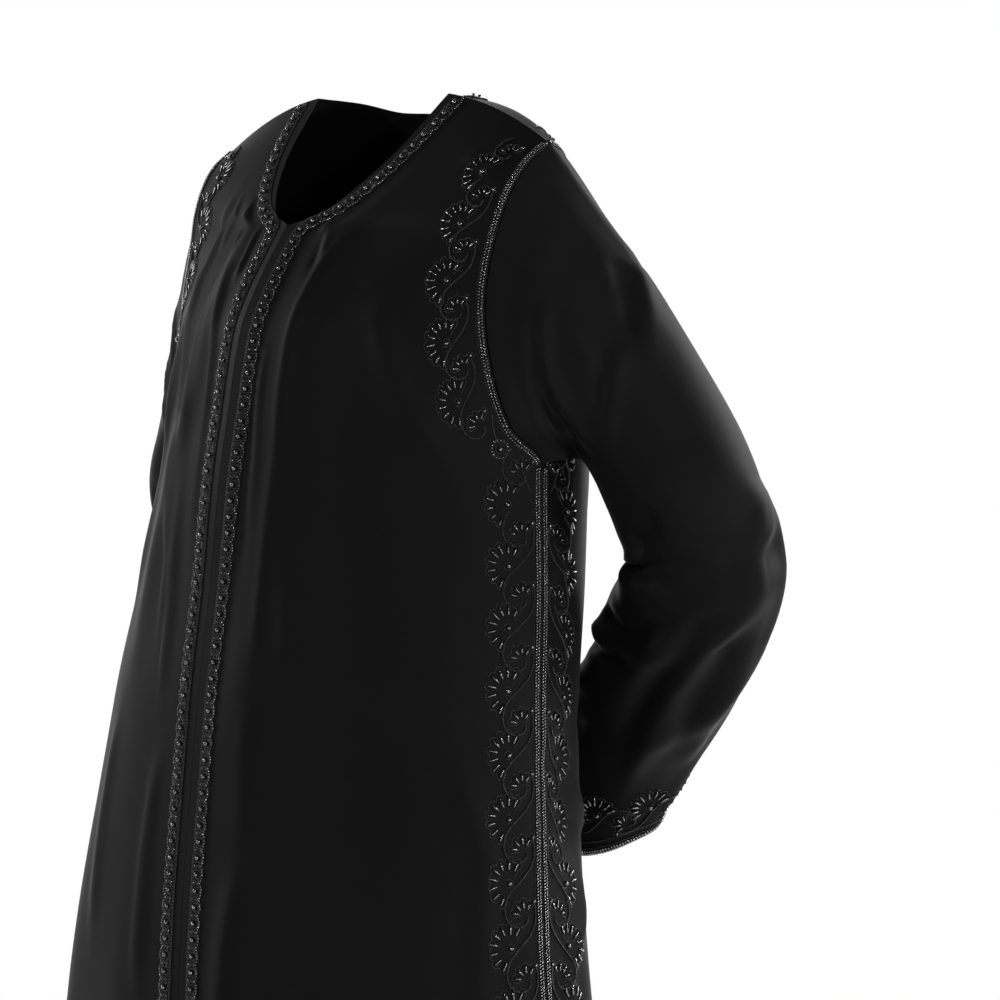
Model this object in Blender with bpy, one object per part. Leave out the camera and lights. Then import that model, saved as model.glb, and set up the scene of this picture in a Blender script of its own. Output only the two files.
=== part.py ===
"""Abaya cloak: a full-length robe of black crepe, worn closed down the front.

Metres, +Z up. The front faces -Y and the wearer's left is +X. The origin lies between the
high points of the two shoulder seams, where the shoulders carry the robe, so the hem is at
z = -GARMENT_LENGTH. Each cut piece is a closed wall of cloth with its own node.
"""

import math

import bpy
import numpy as np
from mathutils import Vector
from mathutils.bvhtree import BVHTree

# Driving sizes, in metres.
GARMENT_LENGTH = 1.38
UNDERARM_Z = -0.297
CLOTH = 0.0015
SEAM_GAP = 0.0003
RIGHT_SIDE_SCALE = 0.93

TRIM_INSET = 0.0095
TRIM_WIDTH = 0.018
TRIM_EDGE_RELIEF = 0.0012
TRIM_CROWN_RELIEF = 0.0022
SLEEVE_GAP = 0.0011
NECK_TRIM_LIFT = 0.0011
CUFF_TRIM_WIDTH = 0.014
CUFF_TRIM_INSET = 0.003

# How finely the walls are divided.
SKIRT_ROWS = 13
YOKE_ROWS = ((0.0, 0.6, 7), (0.6, 0.7, 1), (0.7, 1.0, 4))
PANEL_COLUMNS = 13
CAP_RINGS = 7
ARM_RINGS = 15
NECK_TRIM_STEPS = 18

# Level sections of the robe below the arms. half_width is to the side seam, front and back
# are the depths from the middle line at y = middle, and the powers say how full the curve
# is (2 is an ellipse, lower is flatter towards the front edge).
SECTION_COLUMNS = (
    "z", "half_width", "front", "back", "middle", "front_power", "back_power", "straight",
)
SECTIONS = (
    (-1.380, 0.345, 0.219, 0.218, -0.026, 1.95, 2.05, 0.00),
    (-1.100, 0.308, 0.187, 0.194, -0.040, 1.90, 2.05, 0.00),
    (-0.750, 0.268, 0.152, 0.171, -0.050, 1.85, 2.05, 0.00),
    (-0.500, 0.240, 0.151, 0.147, -0.031, 1.80, 2.10, 0.00),
    (-0.400, 0.227, 0.152, 0.150, -0.016, 1.78, 2.15, 0.05),
    (-0.297, 0.2113, 0.156, 0.152, 0.000, 1.75, 2.20, 0.14),
    (-0.262, 0.2085, 0.151, 0.149, 0.006, 1.75, 2.20, 0.18),
)

# Sections of the yoke, from the underarm to the shoulder seam. Each runs from a point on the
# front edge or neckline to a point on the armhole. reach is the share of the quarter turn
# that the cloth has made when it meets the armhole, straight says how far the section has
# left that curve for the flat line of the shoulder seam, and crown lifts its middle.
YOKE_COLUMNS = (
    "share", "inner_x", "inner_y", "inner_z", "outer_x", "outer_y", "outer_z",
    "reach", "straight", "power", "crown",
)
FRONT_YOKE = (
    (-0.1, 0.000, -0.161, -0.332, 0.2160, -0.006, -0.332, 1.00, 0.10, 1.76, 0.000),
    (0.0, 0.000, -0.156, -0.297, 0.2113, 0.000, -0.297, 1.00, 0.14, 1.75, 0.000),
    (0.1, 0.000, -0.149, -0.262, 0.204, -0.029, -0.267, 0.87, 0.19, 1.75, 0.000),
    (0.2, 0.000, -0.1425, -0.226, 0.195, -0.0385, -0.228, 0.79, 0.25, 1.80, 0.000),
    (0.3, 0.000, -0.1335, -0.188, 0.190, -0.0425, -0.190, 0.75, 0.31, 1.85, 0.000),
    (0.4, 0.000, -0.1185, -0.158, 0.188, -0.041, -0.163, 0.75, 0.37, 1.90, 0.000),
    (0.5, 0.000, -0.1025, -0.133, 0.188, -0.037, -0.140, 0.77, 0.43, 1.95, 0.000),
    (0.6, 0.000, -0.0840, -0.107, 0.190, -0.032, -0.118, 0.80, 0.50, 2.00, 0.001),
    (0.7, 0.026, -0.073, -0.097, 0.193, -0.026, -0.096, 0.85, 0.58, 2.00, 0.002),
    (0.8, 0.050, -0.052, -0.074, 0.196, -0.016, -0.074, 0.90, 0.70, 2.00, 0.003),
    (0.9, 0.070, -0.020, -0.040, 0.199, 0.000, -0.054, 0.95, 0.86, 2.00, 0.005),
    (1.0, 0.082, 0.022, 0.004, 0.200, 0.0214, -0.040, 1.00, 1.00, 2.00, 0.007),
)
BACK_YOKE = (
    (-0.1, 0.000, 0.146, -0.332, 0.2160, -0.006, -0.332, 1.00, 0.00, 2.18, 0.000),
    (0.0, 0.000, 0.152, -0.297, 0.2113, 0.000, -0.297, 1.00, 0.00, 2.20, 0.000),
    (0.1, 0.000, 0.155, -0.258, 0.204, 0.040, -0.272, 0.85, 0.00, 2.20, 0.000),
    (0.2, 0.000, 0.154, -0.219, 0.195, 0.062, -0.240, 0.74, 0.00, 2.20, 0.000),
    (0.3, 0.000, 0.149, -0.180, 0.189, 0.072, -0.205, 0.69, 0.03, 2.20, 0.000),
    (0.4, 0.000, 0.140, -0.139, 0.187, 0.075, -0.170, 0.66, 0.08, 2.20, 0.000),
    (0.5, 0.000, 0.126, -0.098, 0.186, 0.073, -0.138, 0.66, 0.15, 2.20, 0.002),
    (0.6, 0.000, 0.108, -0.055, 0.188, 0.067, -0.105, 0.70, 0.28, 2.10, 0.006),
    (0.7, 0.000, 0.089, -0.010, 0.191, 0.058, -0.074, 0.78, 0.45, 2.00, 0.010),
    (0.8, 0.036, 0.081, -0.008, 0.194, 0.047, -0.054, 0.88, 0.65, 2.00, 0.012),
    (0.9, 0.065, 0.058, 0.000, 0.197, 0.035, -0.044, 0.95, 0.85, 2.00, 0.011),
    (1.0, 0.082, 0.022, 0.004, 0.200, 0.0214, -0.040, 1.00, 1.00, 2.00, 0.007),
)
FRONT_NECK_SHARE = 0.6
BACK_NECK_SHARE = 0.7

# Folds of the body. q goes round the robe: 0 front edges, 1 left side seam, 2 centre back,
# -1 right side seam. Each fold runs from (top_z, top_q) to (low_z, low_q); depth is outward.
FOLD_COLUMNS = (
    "top_z", "top_q", "low_z", "low_q", "top_depth", "low_depth", "top_width", "low_width",
)
BODY_FOLDS = (
    (-0.08, 0.27, -0.52, 0.15, 0.005, 0.007, 0.060, 0.060),
    (-0.10, -0.26, -0.40, -0.36, 0.004, 0.006, 0.060, 0.070),
    (-0.16, 0.55, -0.34, 0.74, 0.002, 0.005, 0.060, 0.080),
    (-0.16, -0.58, -0.36, -0.75, 0.002, 0.005, 0.060, 0.080),
    (-0.55, 0.17, -1.38, 0.22, 0.001, 0.017, 0.090, 0.085),
    (-0.62, 0.52, -1.38, 0.56, 0.001, 0.015, 0.100, 0.095),
    (-0.70, 0.86, -1.38, 0.88, 0.001, 0.013, 0.100, 0.090),
    (-0.60, 1.22, -1.38, 1.24, 0.002, 0.016, 0.090, 0.090),
    (-0.50, 1.58, -1.38, 1.55, 0.002, 0.018, 0.100, 0.095),
    (-0.66, 1.90, -1.38, 1.93, 0.001, 0.014, 0.100, 0.090),
    (-0.60, -0.20, -1.38, -0.25, 0.001, 0.016, 0.090, 0.085),
    (-0.58, -0.55, -1.38, -0.60, 0.001, 0.015, 0.100, 0.095),
    (-0.72, -0.90, -1.38, -0.94, 0.001, 0.013, 0.100, 0.090),
    (-0.56, -1.28, -1.38, -1.26, 0.002, 0.017, 0.090, 0.090),
    (-0.64, -1.64, -1.38, -1.62, 0.002, 0.015, 0.100, 0.095),
)

# Sections of the left sleeve where it has left the armhole: centre, radius across the arm
# from outer to inner side, radius from front to back, and how much shorter its outer side is.
# The cap leaves the armhole by CAP_LEAVE, in one way at the shoulder and another underarm.
ARM_COLUMNS = ("share", "x", "y", "z", "radius_out", "radius_side", "slant")
ARM_SECTIONS = (
    (0.00, 0.261, 0.088, -0.290, 0.057, 0.062, 0.000),
    (0.16, 0.281, 0.096, -0.330, 0.060, 0.061, 0.000),
    (0.32, 0.290, 0.112, -0.371, 0.061, 0.061, 0.000),
    (0.48, 0.270, 0.121, -0.413, 0.065, 0.060, 0.000),
    (0.64, 0.236, 0.131, -0.456, 0.066, 0.058, 0.000),
    (0.82, 0.181, 0.145, -0.523, 0.058, 0.051, 0.010),
    (1.00, 0.136, 0.162, -0.601, 0.039, 0.040, 0.030),
)
CAP_LEAVE = 0.090
CAP_JOIN = 0.120
CAP_TOP_WAY = (0.520, 0.325, -0.700)
CAP_UNDER_WAY = (0.800, 0.500, 0.120)
ARM_OUTER_START = (0.628, 0.600, 0.496)

# Folds of the sleeve. turn goes round it: 0 outer side, 0.25 front, 0.5 inner side,
# 0.75 back; run goes along it from the armhole (0) to the cuff (1).
SLEEVE_FOLD_COLUMNS = ("top_run", "top_turn", "low_run", "low_turn", "depth", "width")
SLEEVE_FOLDS = (
    (0.44, 0.08, 0.62, 0.34, 0.007, 0.050),
    (0.50, 0.02, 0.78, 0.26, 0.006, 0.045),
    (0.54, 0.95, 0.96, 0.14, 0.006, 0.045),
    (0.12, 0.40, 0.40, 0.30, 0.005, 0.055),
    (0.42, 0.70, 0.66, 0.58, 0.005, 0.060),
    (0.20, 0.74, 0.46, 0.86, 0.004, 0.060),
)

BLACK_CREPE = ("black_crepe", (0.012, 0.012, 0.013, 1.0), 0.72)
TRIM_BLACK = ("corded_trim_black", (0.006, 0.006, 0.007, 1.0), 0.38)


def row_slopes(values, stops):
    """Slopes at a table's rows that never carry the curve past its neighbours."""
    steps = np.diff(values) / np.diff(stops)
    before, after = steps[:-1], steps[1:]
    rising = before * after > 0
    total = np.where(rising, before + after, 1.0)
    middle = np.where(rising, 2 * before * after / total, 0.0)
    return np.concatenate([steps[:1], middle, steps[-1:]])


def through(rows, names, wanted, at):
    """Values of the wanted columns of a table at the given stops, on smooth curves."""
    table = np.array(sorted(rows), float)
    stops = table[:, 0]
    at = np.clip(np.asarray(at, float), stops[0], stops[-1])
    low = np.clip(np.searchsorted(stops, at, side="right") - 1, 0, len(stops) - 2)
    step = stops[low + 1] - stops[low]
    u = (at - stops[low]) / step
    found = []
    for name in wanted:
        values = table[:, names.index(name)]
        slopes = row_slopes(values, stops)
        rise = (3 - 2 * u) * u * u
        start = values[low] * (1 - rise) + values[low + 1] * rise
        bend = slopes[low] * u * (1 - u) ** 2 - slopes[low + 1] * u * u * (1 - u)
        found.append(start + bend * step)
    return found


def smooth(at, start, end):
    """0 before start, 1 after end, and a soft step between."""
    u = np.clip((at - start) / (end - start), 0.0, 1.0)
    return u * u * (3 - 2 * u)


def unit(vectors):
    """The vectors at length 1."""
    return vectors / np.maximum(np.linalg.norm(vectors, axis=-1, keepdims=True), 1e-12)


def body_form(q, level):
    """Points of the robe without folds.

    level is -1 at the hem, 0 at the underarm and 1 at the shoulder seam. q is 0 at the
    front edges, 1 at the left side seam, 2 at the centre back and -1 at the right seam.
    """
    q, level = np.broadcast_arrays(np.asarray(q, float), np.asarray(level, float))
    turn = np.abs(q)
    is_back = turn > 1
    share = np.where(is_back, 2 - turn, turn)
    z = UNDERARM_Z + np.minimum(level, 0) * (GARMENT_LENGTH + UNDERARM_Z)
    wide, front, back, middle, front_power, back_power, straight = through(
        SECTIONS, SECTION_COLUMNS, SECTION_COLUMNS[1:], z
    )
    low = {
        "inner_x": np.zeros_like(z),
        "inner_y": np.where(is_back, middle + back, middle - front),
        "inner_z": z,
        "outer_x": wide,
        "outer_y": middle,
        "outer_z": z,
        "reach": np.ones_like(z),
        "straight": np.where(is_back, 0.0, straight),
        "power": np.where(is_back, back_power, front_power),
        "crown": np.zeros_like(z),
    }
    wanted = YOKE_COLUMNS[1:]
    up = np.maximum(level, 0)
    front_yoke = through(FRONT_YOKE, YOKE_COLUMNS, wanted, up)
    back_yoke = through(BACK_YOKE, YOKE_COLUMNS, wanted, up)
    row = {}
    for name, in_front, behind in zip(wanted, front_yoke, back_yoke):
        row[name] = np.where(level <= 0, low[name], np.where(is_back, behind, in_front))
    row["inner_x"] = np.maximum(row["inner_x"], 0.0)
    end = row["reach"] * math.pi / 2
    sharp = 2 / row["power"]
    across = (np.sin(share * end) / np.sin(end)) ** sharp
    along = (1 - np.abs(np.cos(share * end)) ** sharp) / (1 - np.abs(np.cos(end)) ** sharp)
    flat = row["straight"]
    across = across * (1 - flat) + share * flat
    along = along * (1 - flat) + share * flat
    x = row["inner_x"] + (row["outer_x"] - row["inner_x"]) * across
    y = row["inner_y"] + (row["outer_y"] - row["inner_y"]) * along
    height = row["inner_z"] + (row["outer_z"] - row["inner_z"]) * share
    height = height + row["crown"] * 4 * share * (1 - share)
    narrow = 1 - (1 - RIGHT_SIDE_SCALE) * smooth(height, -0.85, -0.30)
    x = np.where(q < 0, -x * narrow, x)
    return np.stack([x, y, height], axis=-1)


def across_difference(form, q, level, step):
    """Unit direction towards higher q, taken inside one front or inside the back."""
    low, high = q - step, q + step
    turn = np.abs(q)
    at_armhole = (level > 1e-6) & (np.abs(turn - 1) < step)
    held = at_armhole & ((turn <= 1) == (q >= 0))
    high = np.where(held, q, high)
    low = np.where(at_armhole & ~held, q, low)
    at_front = np.abs(q) < step
    low = np.where(at_front & (q >= 0), q, low)
    high = np.where(at_front & (q < 0), q, high)
    at_back = np.abs(q) > 2 - step
    high = np.where(at_back & (q > 0), q, high)
    low = np.where(at_back & (q < 0), q, low)
    return unit(form(high, level) - form(low, level))


def form_normals(form, q, level, step=0.004):
    """Outward normals of a form of the body."""
    q, level = np.broadcast_arrays(np.asarray(q, float), np.asarray(level, float))
    around = across_difference(form, q, level, step)
    upward = form(q, np.minimum(level + step, 1)) - form(q, np.maximum(level - step, -1))
    normals = unit(np.cross(around, unit(upward)))
    edge = (np.abs(q) < 1e-6) & (level < FRONT_NECK_SHARE)
    edge |= (np.abs(q) > 2 - 1e-6) & (level < BACK_NECK_SHARE)
    normals[edge, 0] = 0.0
    return unit(normals)


def fold_height(q, z):
    """How far the folds lift the cloth at q and z."""
    lift = np.zeros(np.broadcast(q, z).shape)
    for row in BODY_FOLDS:
        fold = dict(zip(FOLD_COLUMNS, row))
        run = (fold["top_z"] - z) / (fold["top_z"] - fold["low_z"])
        clipped = np.clip(run, 0, 1)
        away = q - (fold["top_q"] + (fold["low_q"] - fold["top_q"]) * clipped)
        away = (away + 2) % 4 - 2
        width = fold["top_width"] + (fold["low_width"] - fold["top_width"]) * clipped
        depth = fold["top_depth"] + (fold["low_depth"] - fold["top_depth"]) * clipped
        ends = smooth(run, -0.12, 0.10)
        if fold["low_z"] > -GARMENT_LENGTH + 0.01:
            ends = ends * (1 - smooth(run, 0.85, 1.35))
        lift = lift + depth * ends * np.exp(-((away / width) ** 2))
    keep_seams = smooth(-z, 0.02, 0.10)
    return lift * keep_seams


def body_surface(q, level):
    """Outer points of the body's cloth, folds and all."""
    points = body_form(q, level)
    normals = form_normals(body_form, q, level)
    return points + normals * fold_height(q, points[..., 2])[..., None]


def body_normals(q, level):
    """Outward normals of the folded cloth, shared by front and back along the shoulder."""
    normals = form_normals(body_surface, q, level)
    other = form_normals(body_surface, np.sign(q + 1e-12) * (2 - np.abs(q)), level)
    at_shoulder = (np.asarray(level) > 1 - 0.01)[..., None]
    return np.where(at_shoulder, unit(normals + other), normals)


def q_at_lengths(start_q, end_q, levels, lengths, share):
    """q of each column on each row, by length along the cloth from start_q.

    The first columns lie at the given lengths, and the rest divide what is left by share.
    """
    fine = np.linspace(0, 1, 161)
    q = start_q + (end_q - start_q) * fine
    rows = body_surface(q[None, :], np.asarray(levels)[:, None])
    steps = np.linalg.norm(np.diff(rows, axis=1), axis=2)
    run = np.concatenate([np.zeros((len(rows), 1)), np.cumsum(steps, axis=1)], axis=1)
    found = []
    for each in run:
        first = lengths[-1] if len(lengths) else 0.0
        wanted = list(lengths) + [first + (each[-1] - first) * part for part in share]
        found.append(np.interp(wanted, each, q))
    return np.array(found)


def wall(points, normals, faces, thickness):
    """Vertices and faces of a closed wall, from its outer points, normals and faces."""
    count = len(points)
    vertices = np.concatenate([points, points - normals * thickness])
    sides = {}
    for face in faces:
        for a, b in zip(face, face[1:] + face[:1]):
            sides[(a, b)] = True
    closed = list(faces)
    closed += [[corner + count for corner in reversed(face)] for face in faces]
    for a, b in sides:
        if (b, a) not in sides:
            closed.append([b, a, a + count, b + count])
    return vertices, closed


def halves(a, b, c, d):
    """Two triangles from the corners of a four-sided face, always cut the same way."""
    return [[a, b, c], [a, c, d]]


def grid_faces(rows, columns, ring=False):
    """Triangles of a grid of rows, each with its points in order, facing out."""
    faces = []
    for i in range(rows - 1):
        below, above = i * columns, (i + 1) * columns
        for j in range(columns if ring else columns - 1):
            k = (j + 1) % columns
            faces += halves(below + j, below + k, above + k, above + j)
    return faces


def material(look):
    """A Principled material from a name, a colour and a roughness."""
    name, colour, roughness = look
    made = bpy.data.materials.get(name) or bpy.data.materials.new(name)
    made.use_nodes = True
    shader = made.node_tree.nodes["Principled BSDF"]
    shader.inputs["Base Color"].default_value = colour
    shader.inputs["Roughness"].default_value = roughness
    shader.inputs["Metallic"].default_value = 0.0
    made.diffuse_color = colour
    return made


def add_node(name, vertices, faces, look, parent):
    """A smooth-shaded object of the closed mesh, under the robe's empty."""
    mesh = bpy.data.meshes.new(name)
    mesh.from_pydata([tuple(map(float, point)) for point in vertices], [], faces)
    mesh.materials.append(material(look))
    mesh.shade_smooth()
    mesh.set_sharp_from_angle(angle=math.radians(50))
    made = bpy.data.objects.new(name, mesh)
    made.parent = parent
    bpy.context.scene.collection.objects.link(made)
    return made


def row_levels():
    """Levels of the panel rows from hem to shoulder seam, just short of the seam itself."""
    skirt = np.linspace(-1, 0, SKIRT_ROWS + 1)
    yoke = [np.linspace(low, high, count + 1)[1:] for low, high, count in YOKE_ROWS]
    levels = np.concatenate([skirt, *yoke])
    levels[-1] = 1 - 0.0012
    return levels


def panel_columns(end_q, start_q, levels):
    """q of a front panel's or half back's columns, with three for the trim band."""
    bands = [TRIM_INSET, TRIM_INSET + TRIM_WIDTH / 2, TRIM_INSET + TRIM_WIDTH]
    left = PANEL_COLUMNS - len(bands)
    q = q_at_lengths(start_q, end_q, levels, bands, np.linspace(0, 1, left + 1)[1:])
    first = np.full((len(levels), 1), float(start_q))
    q = np.concatenate([first, q], axis=1)
    q[:, -1] = end_q + (start_q - end_q) * 0.0006
    return q


def hold_apart(points, side):
    """The front edges kept half a seam gap from the middle."""
    points[..., 0] = side * np.maximum(side * points[..., 0], SEAM_GAP / 2 + 0.00005)
    return points


def front_panel(side):
    """Outer points and normals of one front, as rows of columns from edge to side seam."""
    levels = row_levels()
    q = panel_columns(side * 1.0, side * 1e-9, levels)
    level = np.repeat(levels[:, None], q.shape[1], axis=1)
    return hold_apart(body_surface(q, level), side), body_normals(q, level)


def turned(faces, side):
    """The faces as they are on the left, and turned over on the right."""
    return faces if side > 0 else [list(reversed(face)) for face in faces]


def add_front(name, side, parent):
    """A front panel and the grid that its trim is made from."""
    points, normals = front_panel(side)
    rows, columns = points.shape[:2]
    faces = turned(grid_faces(rows, columns), side)
    vertices, closed = wall(points.reshape(-1, 3), normals.reshape(-1, 3), faces, CLOTH)
    add_node(name, vertices, closed, BLACK_CREPE, parent)
    return points, normals


def band(points, normals, faces, crown):
    """A raised band over the points: crown is 1 along its ridge and 0 along its edges."""
    relief = TRIM_EDGE_RELIEF + (TRIM_CROWN_RELIEF - TRIM_EDGE_RELIEF) * crown[..., None]
    count = points.shape[0] * points.shape[1]
    under = (points + normals * SEAM_GAP).reshape(-1, 3)
    over = (points + normals * (SEAM_GAP + relief)).reshape(-1, 3)
    vertices, closed = wall(over, normals.reshape(-1, 3), faces, TRIM_EDGE_RELIEF)
    vertices[count:] = under
    return vertices, closed


def add_front_trim(name, side, grid, parent):
    """The corded band along a front edge and up its neckline."""
    points, normals = (part[:, 1:4] for part in grid)
    crown = np.zeros(points.shape[:2])
    crown[:, 1] = 1.0
    faces = turned(grid_faces(points.shape[0], 3), side)
    vertices, closed = band(points, normals, faces, crown)
    add_node(name, vertices, closed, TRIM_BLACK, parent)


def add_back(name, parent):
    """The back in one piece, its halves sharing the centre line up to the neckline."""
    levels = row_levels()
    rows = len(levels)
    points, normals, faces = [], [], []
    index = {}
    for side in (1, -1):
        q = panel_columns(side * 1.0, side * 2.0, levels)
        level = np.repeat(levels[:, None], q.shape[1], axis=1)
        placed = body_surface(q, level)
        facing = body_normals(q, level)
        joined = levels <= BACK_NECK_SHARE + 1e-9
        placed[joined, 0, 0] = 0.0
        columns = q.shape[1]
        for i in range(rows):
            for j in range(columns):
                if side < 0 and j == 0 and joined[i]:
                    index[(side, i, j)] = index[(1, i, 0)]
                    continue
                index[(side, i, j)] = len(points)
                points.append(placed[i, j])
                normals.append(facing[i, j])
        half = []
        for i in range(rows - 1):
            for j in range(columns - 1):
                corners = ((i, j), (i, j + 1), (i + 1, j + 1), (i + 1, j))
                half += halves(*(index[(side, *corner)] for corner in corners))
        faces += turned(half, -side)
    outer = np.array(points)
    vertices, closed = wall(outer, np.array(normals), faces, CLOTH)
    add_node(name, vertices, closed, BLACK_CREPE, parent)
    return outer, faces


def add_back_neck_trim(name, back, parent):
    """The corded band round the back neckline, laid on the back's own faces."""
    outer, faces = back
    lying_on = BVHTree.FromPolygons([Vector(point) for point in outer], faces)
    low = BACK_NECK_SHARE + 0.012
    levels = np.concatenate(
        [np.linspace(0.99, low, NECK_TRIM_STEPS), np.linspace(low, 0.99, NECK_TRIM_STEPS)]
    )
    sides = np.array([1.0] * NECK_TRIM_STEPS + [-1.0] * NECK_TRIM_STEPS)
    edge = body_surface(sides * 2.0, levels)
    facing = body_normals(sides * 2.0, levels)
    along = unit(np.gradient(edge, axis=0))
    outward = unit(np.cross(along, facing))
    rows = []
    for share, relief in ((0, TRIM_EDGE_RELIEF), (0.5, TRIM_CROWN_RELIEF), (1, TRIM_EDGE_RELIEF)):
        width = TRIM_INSET + TRIM_WIDTH * share
        low, high = [], []
        for point, way in zip(edge, outward):
            seat, normal, _, _ = lying_on.find_nearest(Vector(point + way * width))
            low.append(np.array(seat + normal * NECK_TRIM_LIFT))
            high.append(np.array(seat + normal * (NECK_TRIM_LIFT + relief)))
        rows.append((low, high))
    count = len(edge)
    over = np.array([row[1] for row in rows]).reshape(-1, 3)
    under = np.array([row[0] for row in rows]).reshape(-1, 3)
    faces = turned(grid_faces(3, count), -1)
    vertices, closed = wall(over, np.zeros_like(over), faces, 0.0)
    vertices[len(over):] = under
    add_node(name, vertices, closed, TRIM_BLACK, parent)


def armhole(side):
    """The armhole's points from the shoulder tip down the front, and up the back."""
    levels = row_levels()
    yoke = levels[levels >= -1e-9]
    down = yoke[::-1]
    up = yoke[1:-1]
    q = np.concatenate([np.full(len(down), 1 - 1e-6), np.full(len(up), 1 + 1e-6)])
    level = np.concatenate([down, up])
    return body_surface(side * q, level)


def sleeve_frame(centres):
    """Directions along the arm, to its outer side and to its front, at each centre."""
    along = unit(np.gradient(centres, axis=0))
    outer = np.array(ARM_OUTER_START)
    found_outer = []
    for way in along:
        outer = outer - way * np.dot(outer, way)
        outer = outer / np.linalg.norm(outer)
        found_outer.append(outer)
    found_outer = np.array(found_outer)
    return along, found_outer, unit(np.cross(along, found_outer))


def arm_rings(shares, turns):
    """Rings of the sleeve where it is a tube, without folds, and the frame of each."""
    x, y, z, radius_out, radius_side, slant = through(
        ARM_SECTIONS, ARM_COLUMNS, ARM_COLUMNS[1:], shares
    )
    centres = np.stack([x, y, z], axis=-1)
    along, outer, front = sleeve_frame(centres)
    angle = turns * 2 * math.pi
    rings = (
        centres[:, None]
        + outer[:, None] * (radius_out[:, None] * np.cos(angle)[None])[..., None]
        + front[:, None] * (radius_side[:, None] * np.sin(angle)[None])[..., None]
        - along[:, None] * (slant[:, None] * np.cos(angle)[None])[..., None]
    )
    return rings, along, centres


def sleeve_surface(cap_count, arm_shares):
    """Outer points of the left sleeve with its folds: rings from the armhole to the cuff."""
    start = armhole(1)
    turns = np.linspace(0, 1, len(start), endpoint=False)
    rings, along, centres = arm_rings(arm_shares, turns)
    top = 0.5 + 0.5 * np.cos(turns * 2 * math.pi)[:, None]
    leave = unit(np.array(CAP_TOP_WAY) * top + np.array(CAP_UNDER_WAY) * (1 - top))
    start = start + leave * SLEEVE_GAP
    cap = []
    for u in np.linspace(0, 1, cap_count, endpoint=False):
        rise = u * u * (3 - 2 * u)
        begin = u * (1 - u) ** 2
        finish = -u * u * (1 - u)
        cap.append(
            start * (1 - rise)
            + rings[0] * rise
            + leave * CAP_LEAVE * begin
            + along[0] * CAP_JOIN * finish
        )
    surface = np.concatenate([np.array(cap), rings])
    steps = np.linalg.norm(np.diff(surface.mean(axis=1), axis=0), axis=1)
    run = np.concatenate([[0], np.cumsum(steps)])
    run = run / run[-1]
    outward = tube_normals(surface)
    lift = np.zeros(surface.shape[:2])
    for row in SLEEVE_FOLDS:
        fold = dict(zip(SLEEVE_FOLD_COLUMNS, row))
        part = (run - fold["top_run"]) / (fold["low_run"] - fold["top_run"])
        bend = (fold["low_turn"] - fold["top_turn"] + 0.5) % 1 - 0.5
        middle = fold["top_turn"] + bend * np.clip(part, 0, 1)
        away = (turns[None] - middle[:, None] + 0.5) % 1 - 0.5
        ends = smooth(part, -0.35, 0.20) * (1 - smooth(part, 0.80, 1.35))
        lift = lift + fold["depth"] * ends[:, None] * np.exp(-((away / fold["width"]) ** 2))
    # The sleeve's inner face lies on the arm's form, and meets the body's cloth at the armhole.
    lift = lift * smooth(run, 0.02, 0.12)[:, None] + CLOTH * smooth(run, 0, 0.12)[:, None]
    return surface + outward * lift[..., None]


def tube_normals(rings):
    """Outward normals of rings whose points run from the outer side to the front."""
    around = np.roll(rings, -1, axis=1) - np.roll(rings, 1, axis=1)
    along = np.gradient(rings, axis=0)
    return unit(np.cross(around, along))


def arm_shares_with_cuff():
    """Shares of the arm's rings, the last ones at the edges of the cuff trim."""
    x, y, z = through(ARM_SECTIONS, ARM_COLUMNS, ("x", "y", "z"), np.linspace(0, 1, 201))
    steps = np.linalg.norm(np.diff(np.stack([x, y, z], axis=-1), axis=0), axis=1)
    length = steps.sum()
    from_edge = [
        CUFF_TRIM_INSET + CUFF_TRIM_WIDTH,
        CUFF_TRIM_INSET + CUFF_TRIM_WIDTH / 2,
        CUFF_TRIM_INSET,
        0,
    ]
    ends = [1 - distance / length for distance in from_edge]
    plain = np.linspace(0, ends[0], ARM_RINGS - 3)[:-1]
    return np.concatenate([plain, ends])


def mirrored(points, side):
    """The points as they are on the left, or mirrored onto the right."""
    return points * np.array([side, 1.0, 1.0])


def add_sleeve(name, side, parent):
    """A sleeve, and the rings that its cuff trim is made from."""
    rings = sleeve_surface(CAP_RINGS, arm_shares_with_cuff())
    normals = tube_normals(rings)
    if side < 0:
        shift = armhole(-1) - mirrored(armhole(1), -1)
        fade = 1 - smooth(np.arange(len(rings)), 0, CAP_RINGS)
        rings = mirrored(rings, -1) + shift[None] * fade[:, None, None]
        normals = mirrored(normals, -1)
    count = rings.shape[1]
    faces = turned(grid_faces(len(rings), count, ring=True), side)
    vertices, closed = wall(rings.reshape(-1, 3), normals.reshape(-1, 3), faces, CLOTH)
    add_node(name, vertices, closed, BLACK_CREPE, parent)
    return rings[-4:-1], normals[-4:-1]


def add_cuff_trim(name, side, grid, parent):
    """The beaded band round a cuff."""
    rings, normals = grid
    crown = np.zeros(rings.shape[:2])
    crown[1] = 1.0
    faces = turned(grid_faces(3, rings.shape[1], ring=True), side)
    vertices, closed = band(rings, normals, faces, crown)
    add_node(name, vertices, closed, TRIM_BLACK, parent)


def main():
    """Clears the scene and makes the robe's nodes."""
    for thing in list(bpy.data.objects):
        bpy.data.objects.remove(thing, do_unlink=True)
    robe = bpy.data.objects.new("abaya", None)
    bpy.context.scene.collection.objects.link(robe)
    for name, side in (("left", 1), ("right", -1)):
        grid = add_front(f"{name}_front", side, robe)
        add_front_trim(f"{name}_front_trim", side, grid, robe)
        cuff = add_sleeve(f"{name}_sleeve", side, robe)
        add_cuff_trim(f"{name}_cuff_trim", side, cuff, robe)
    back = add_back("back", robe)
    add_back_neck_trim("back_neck_trim", back, robe)


main()
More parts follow.
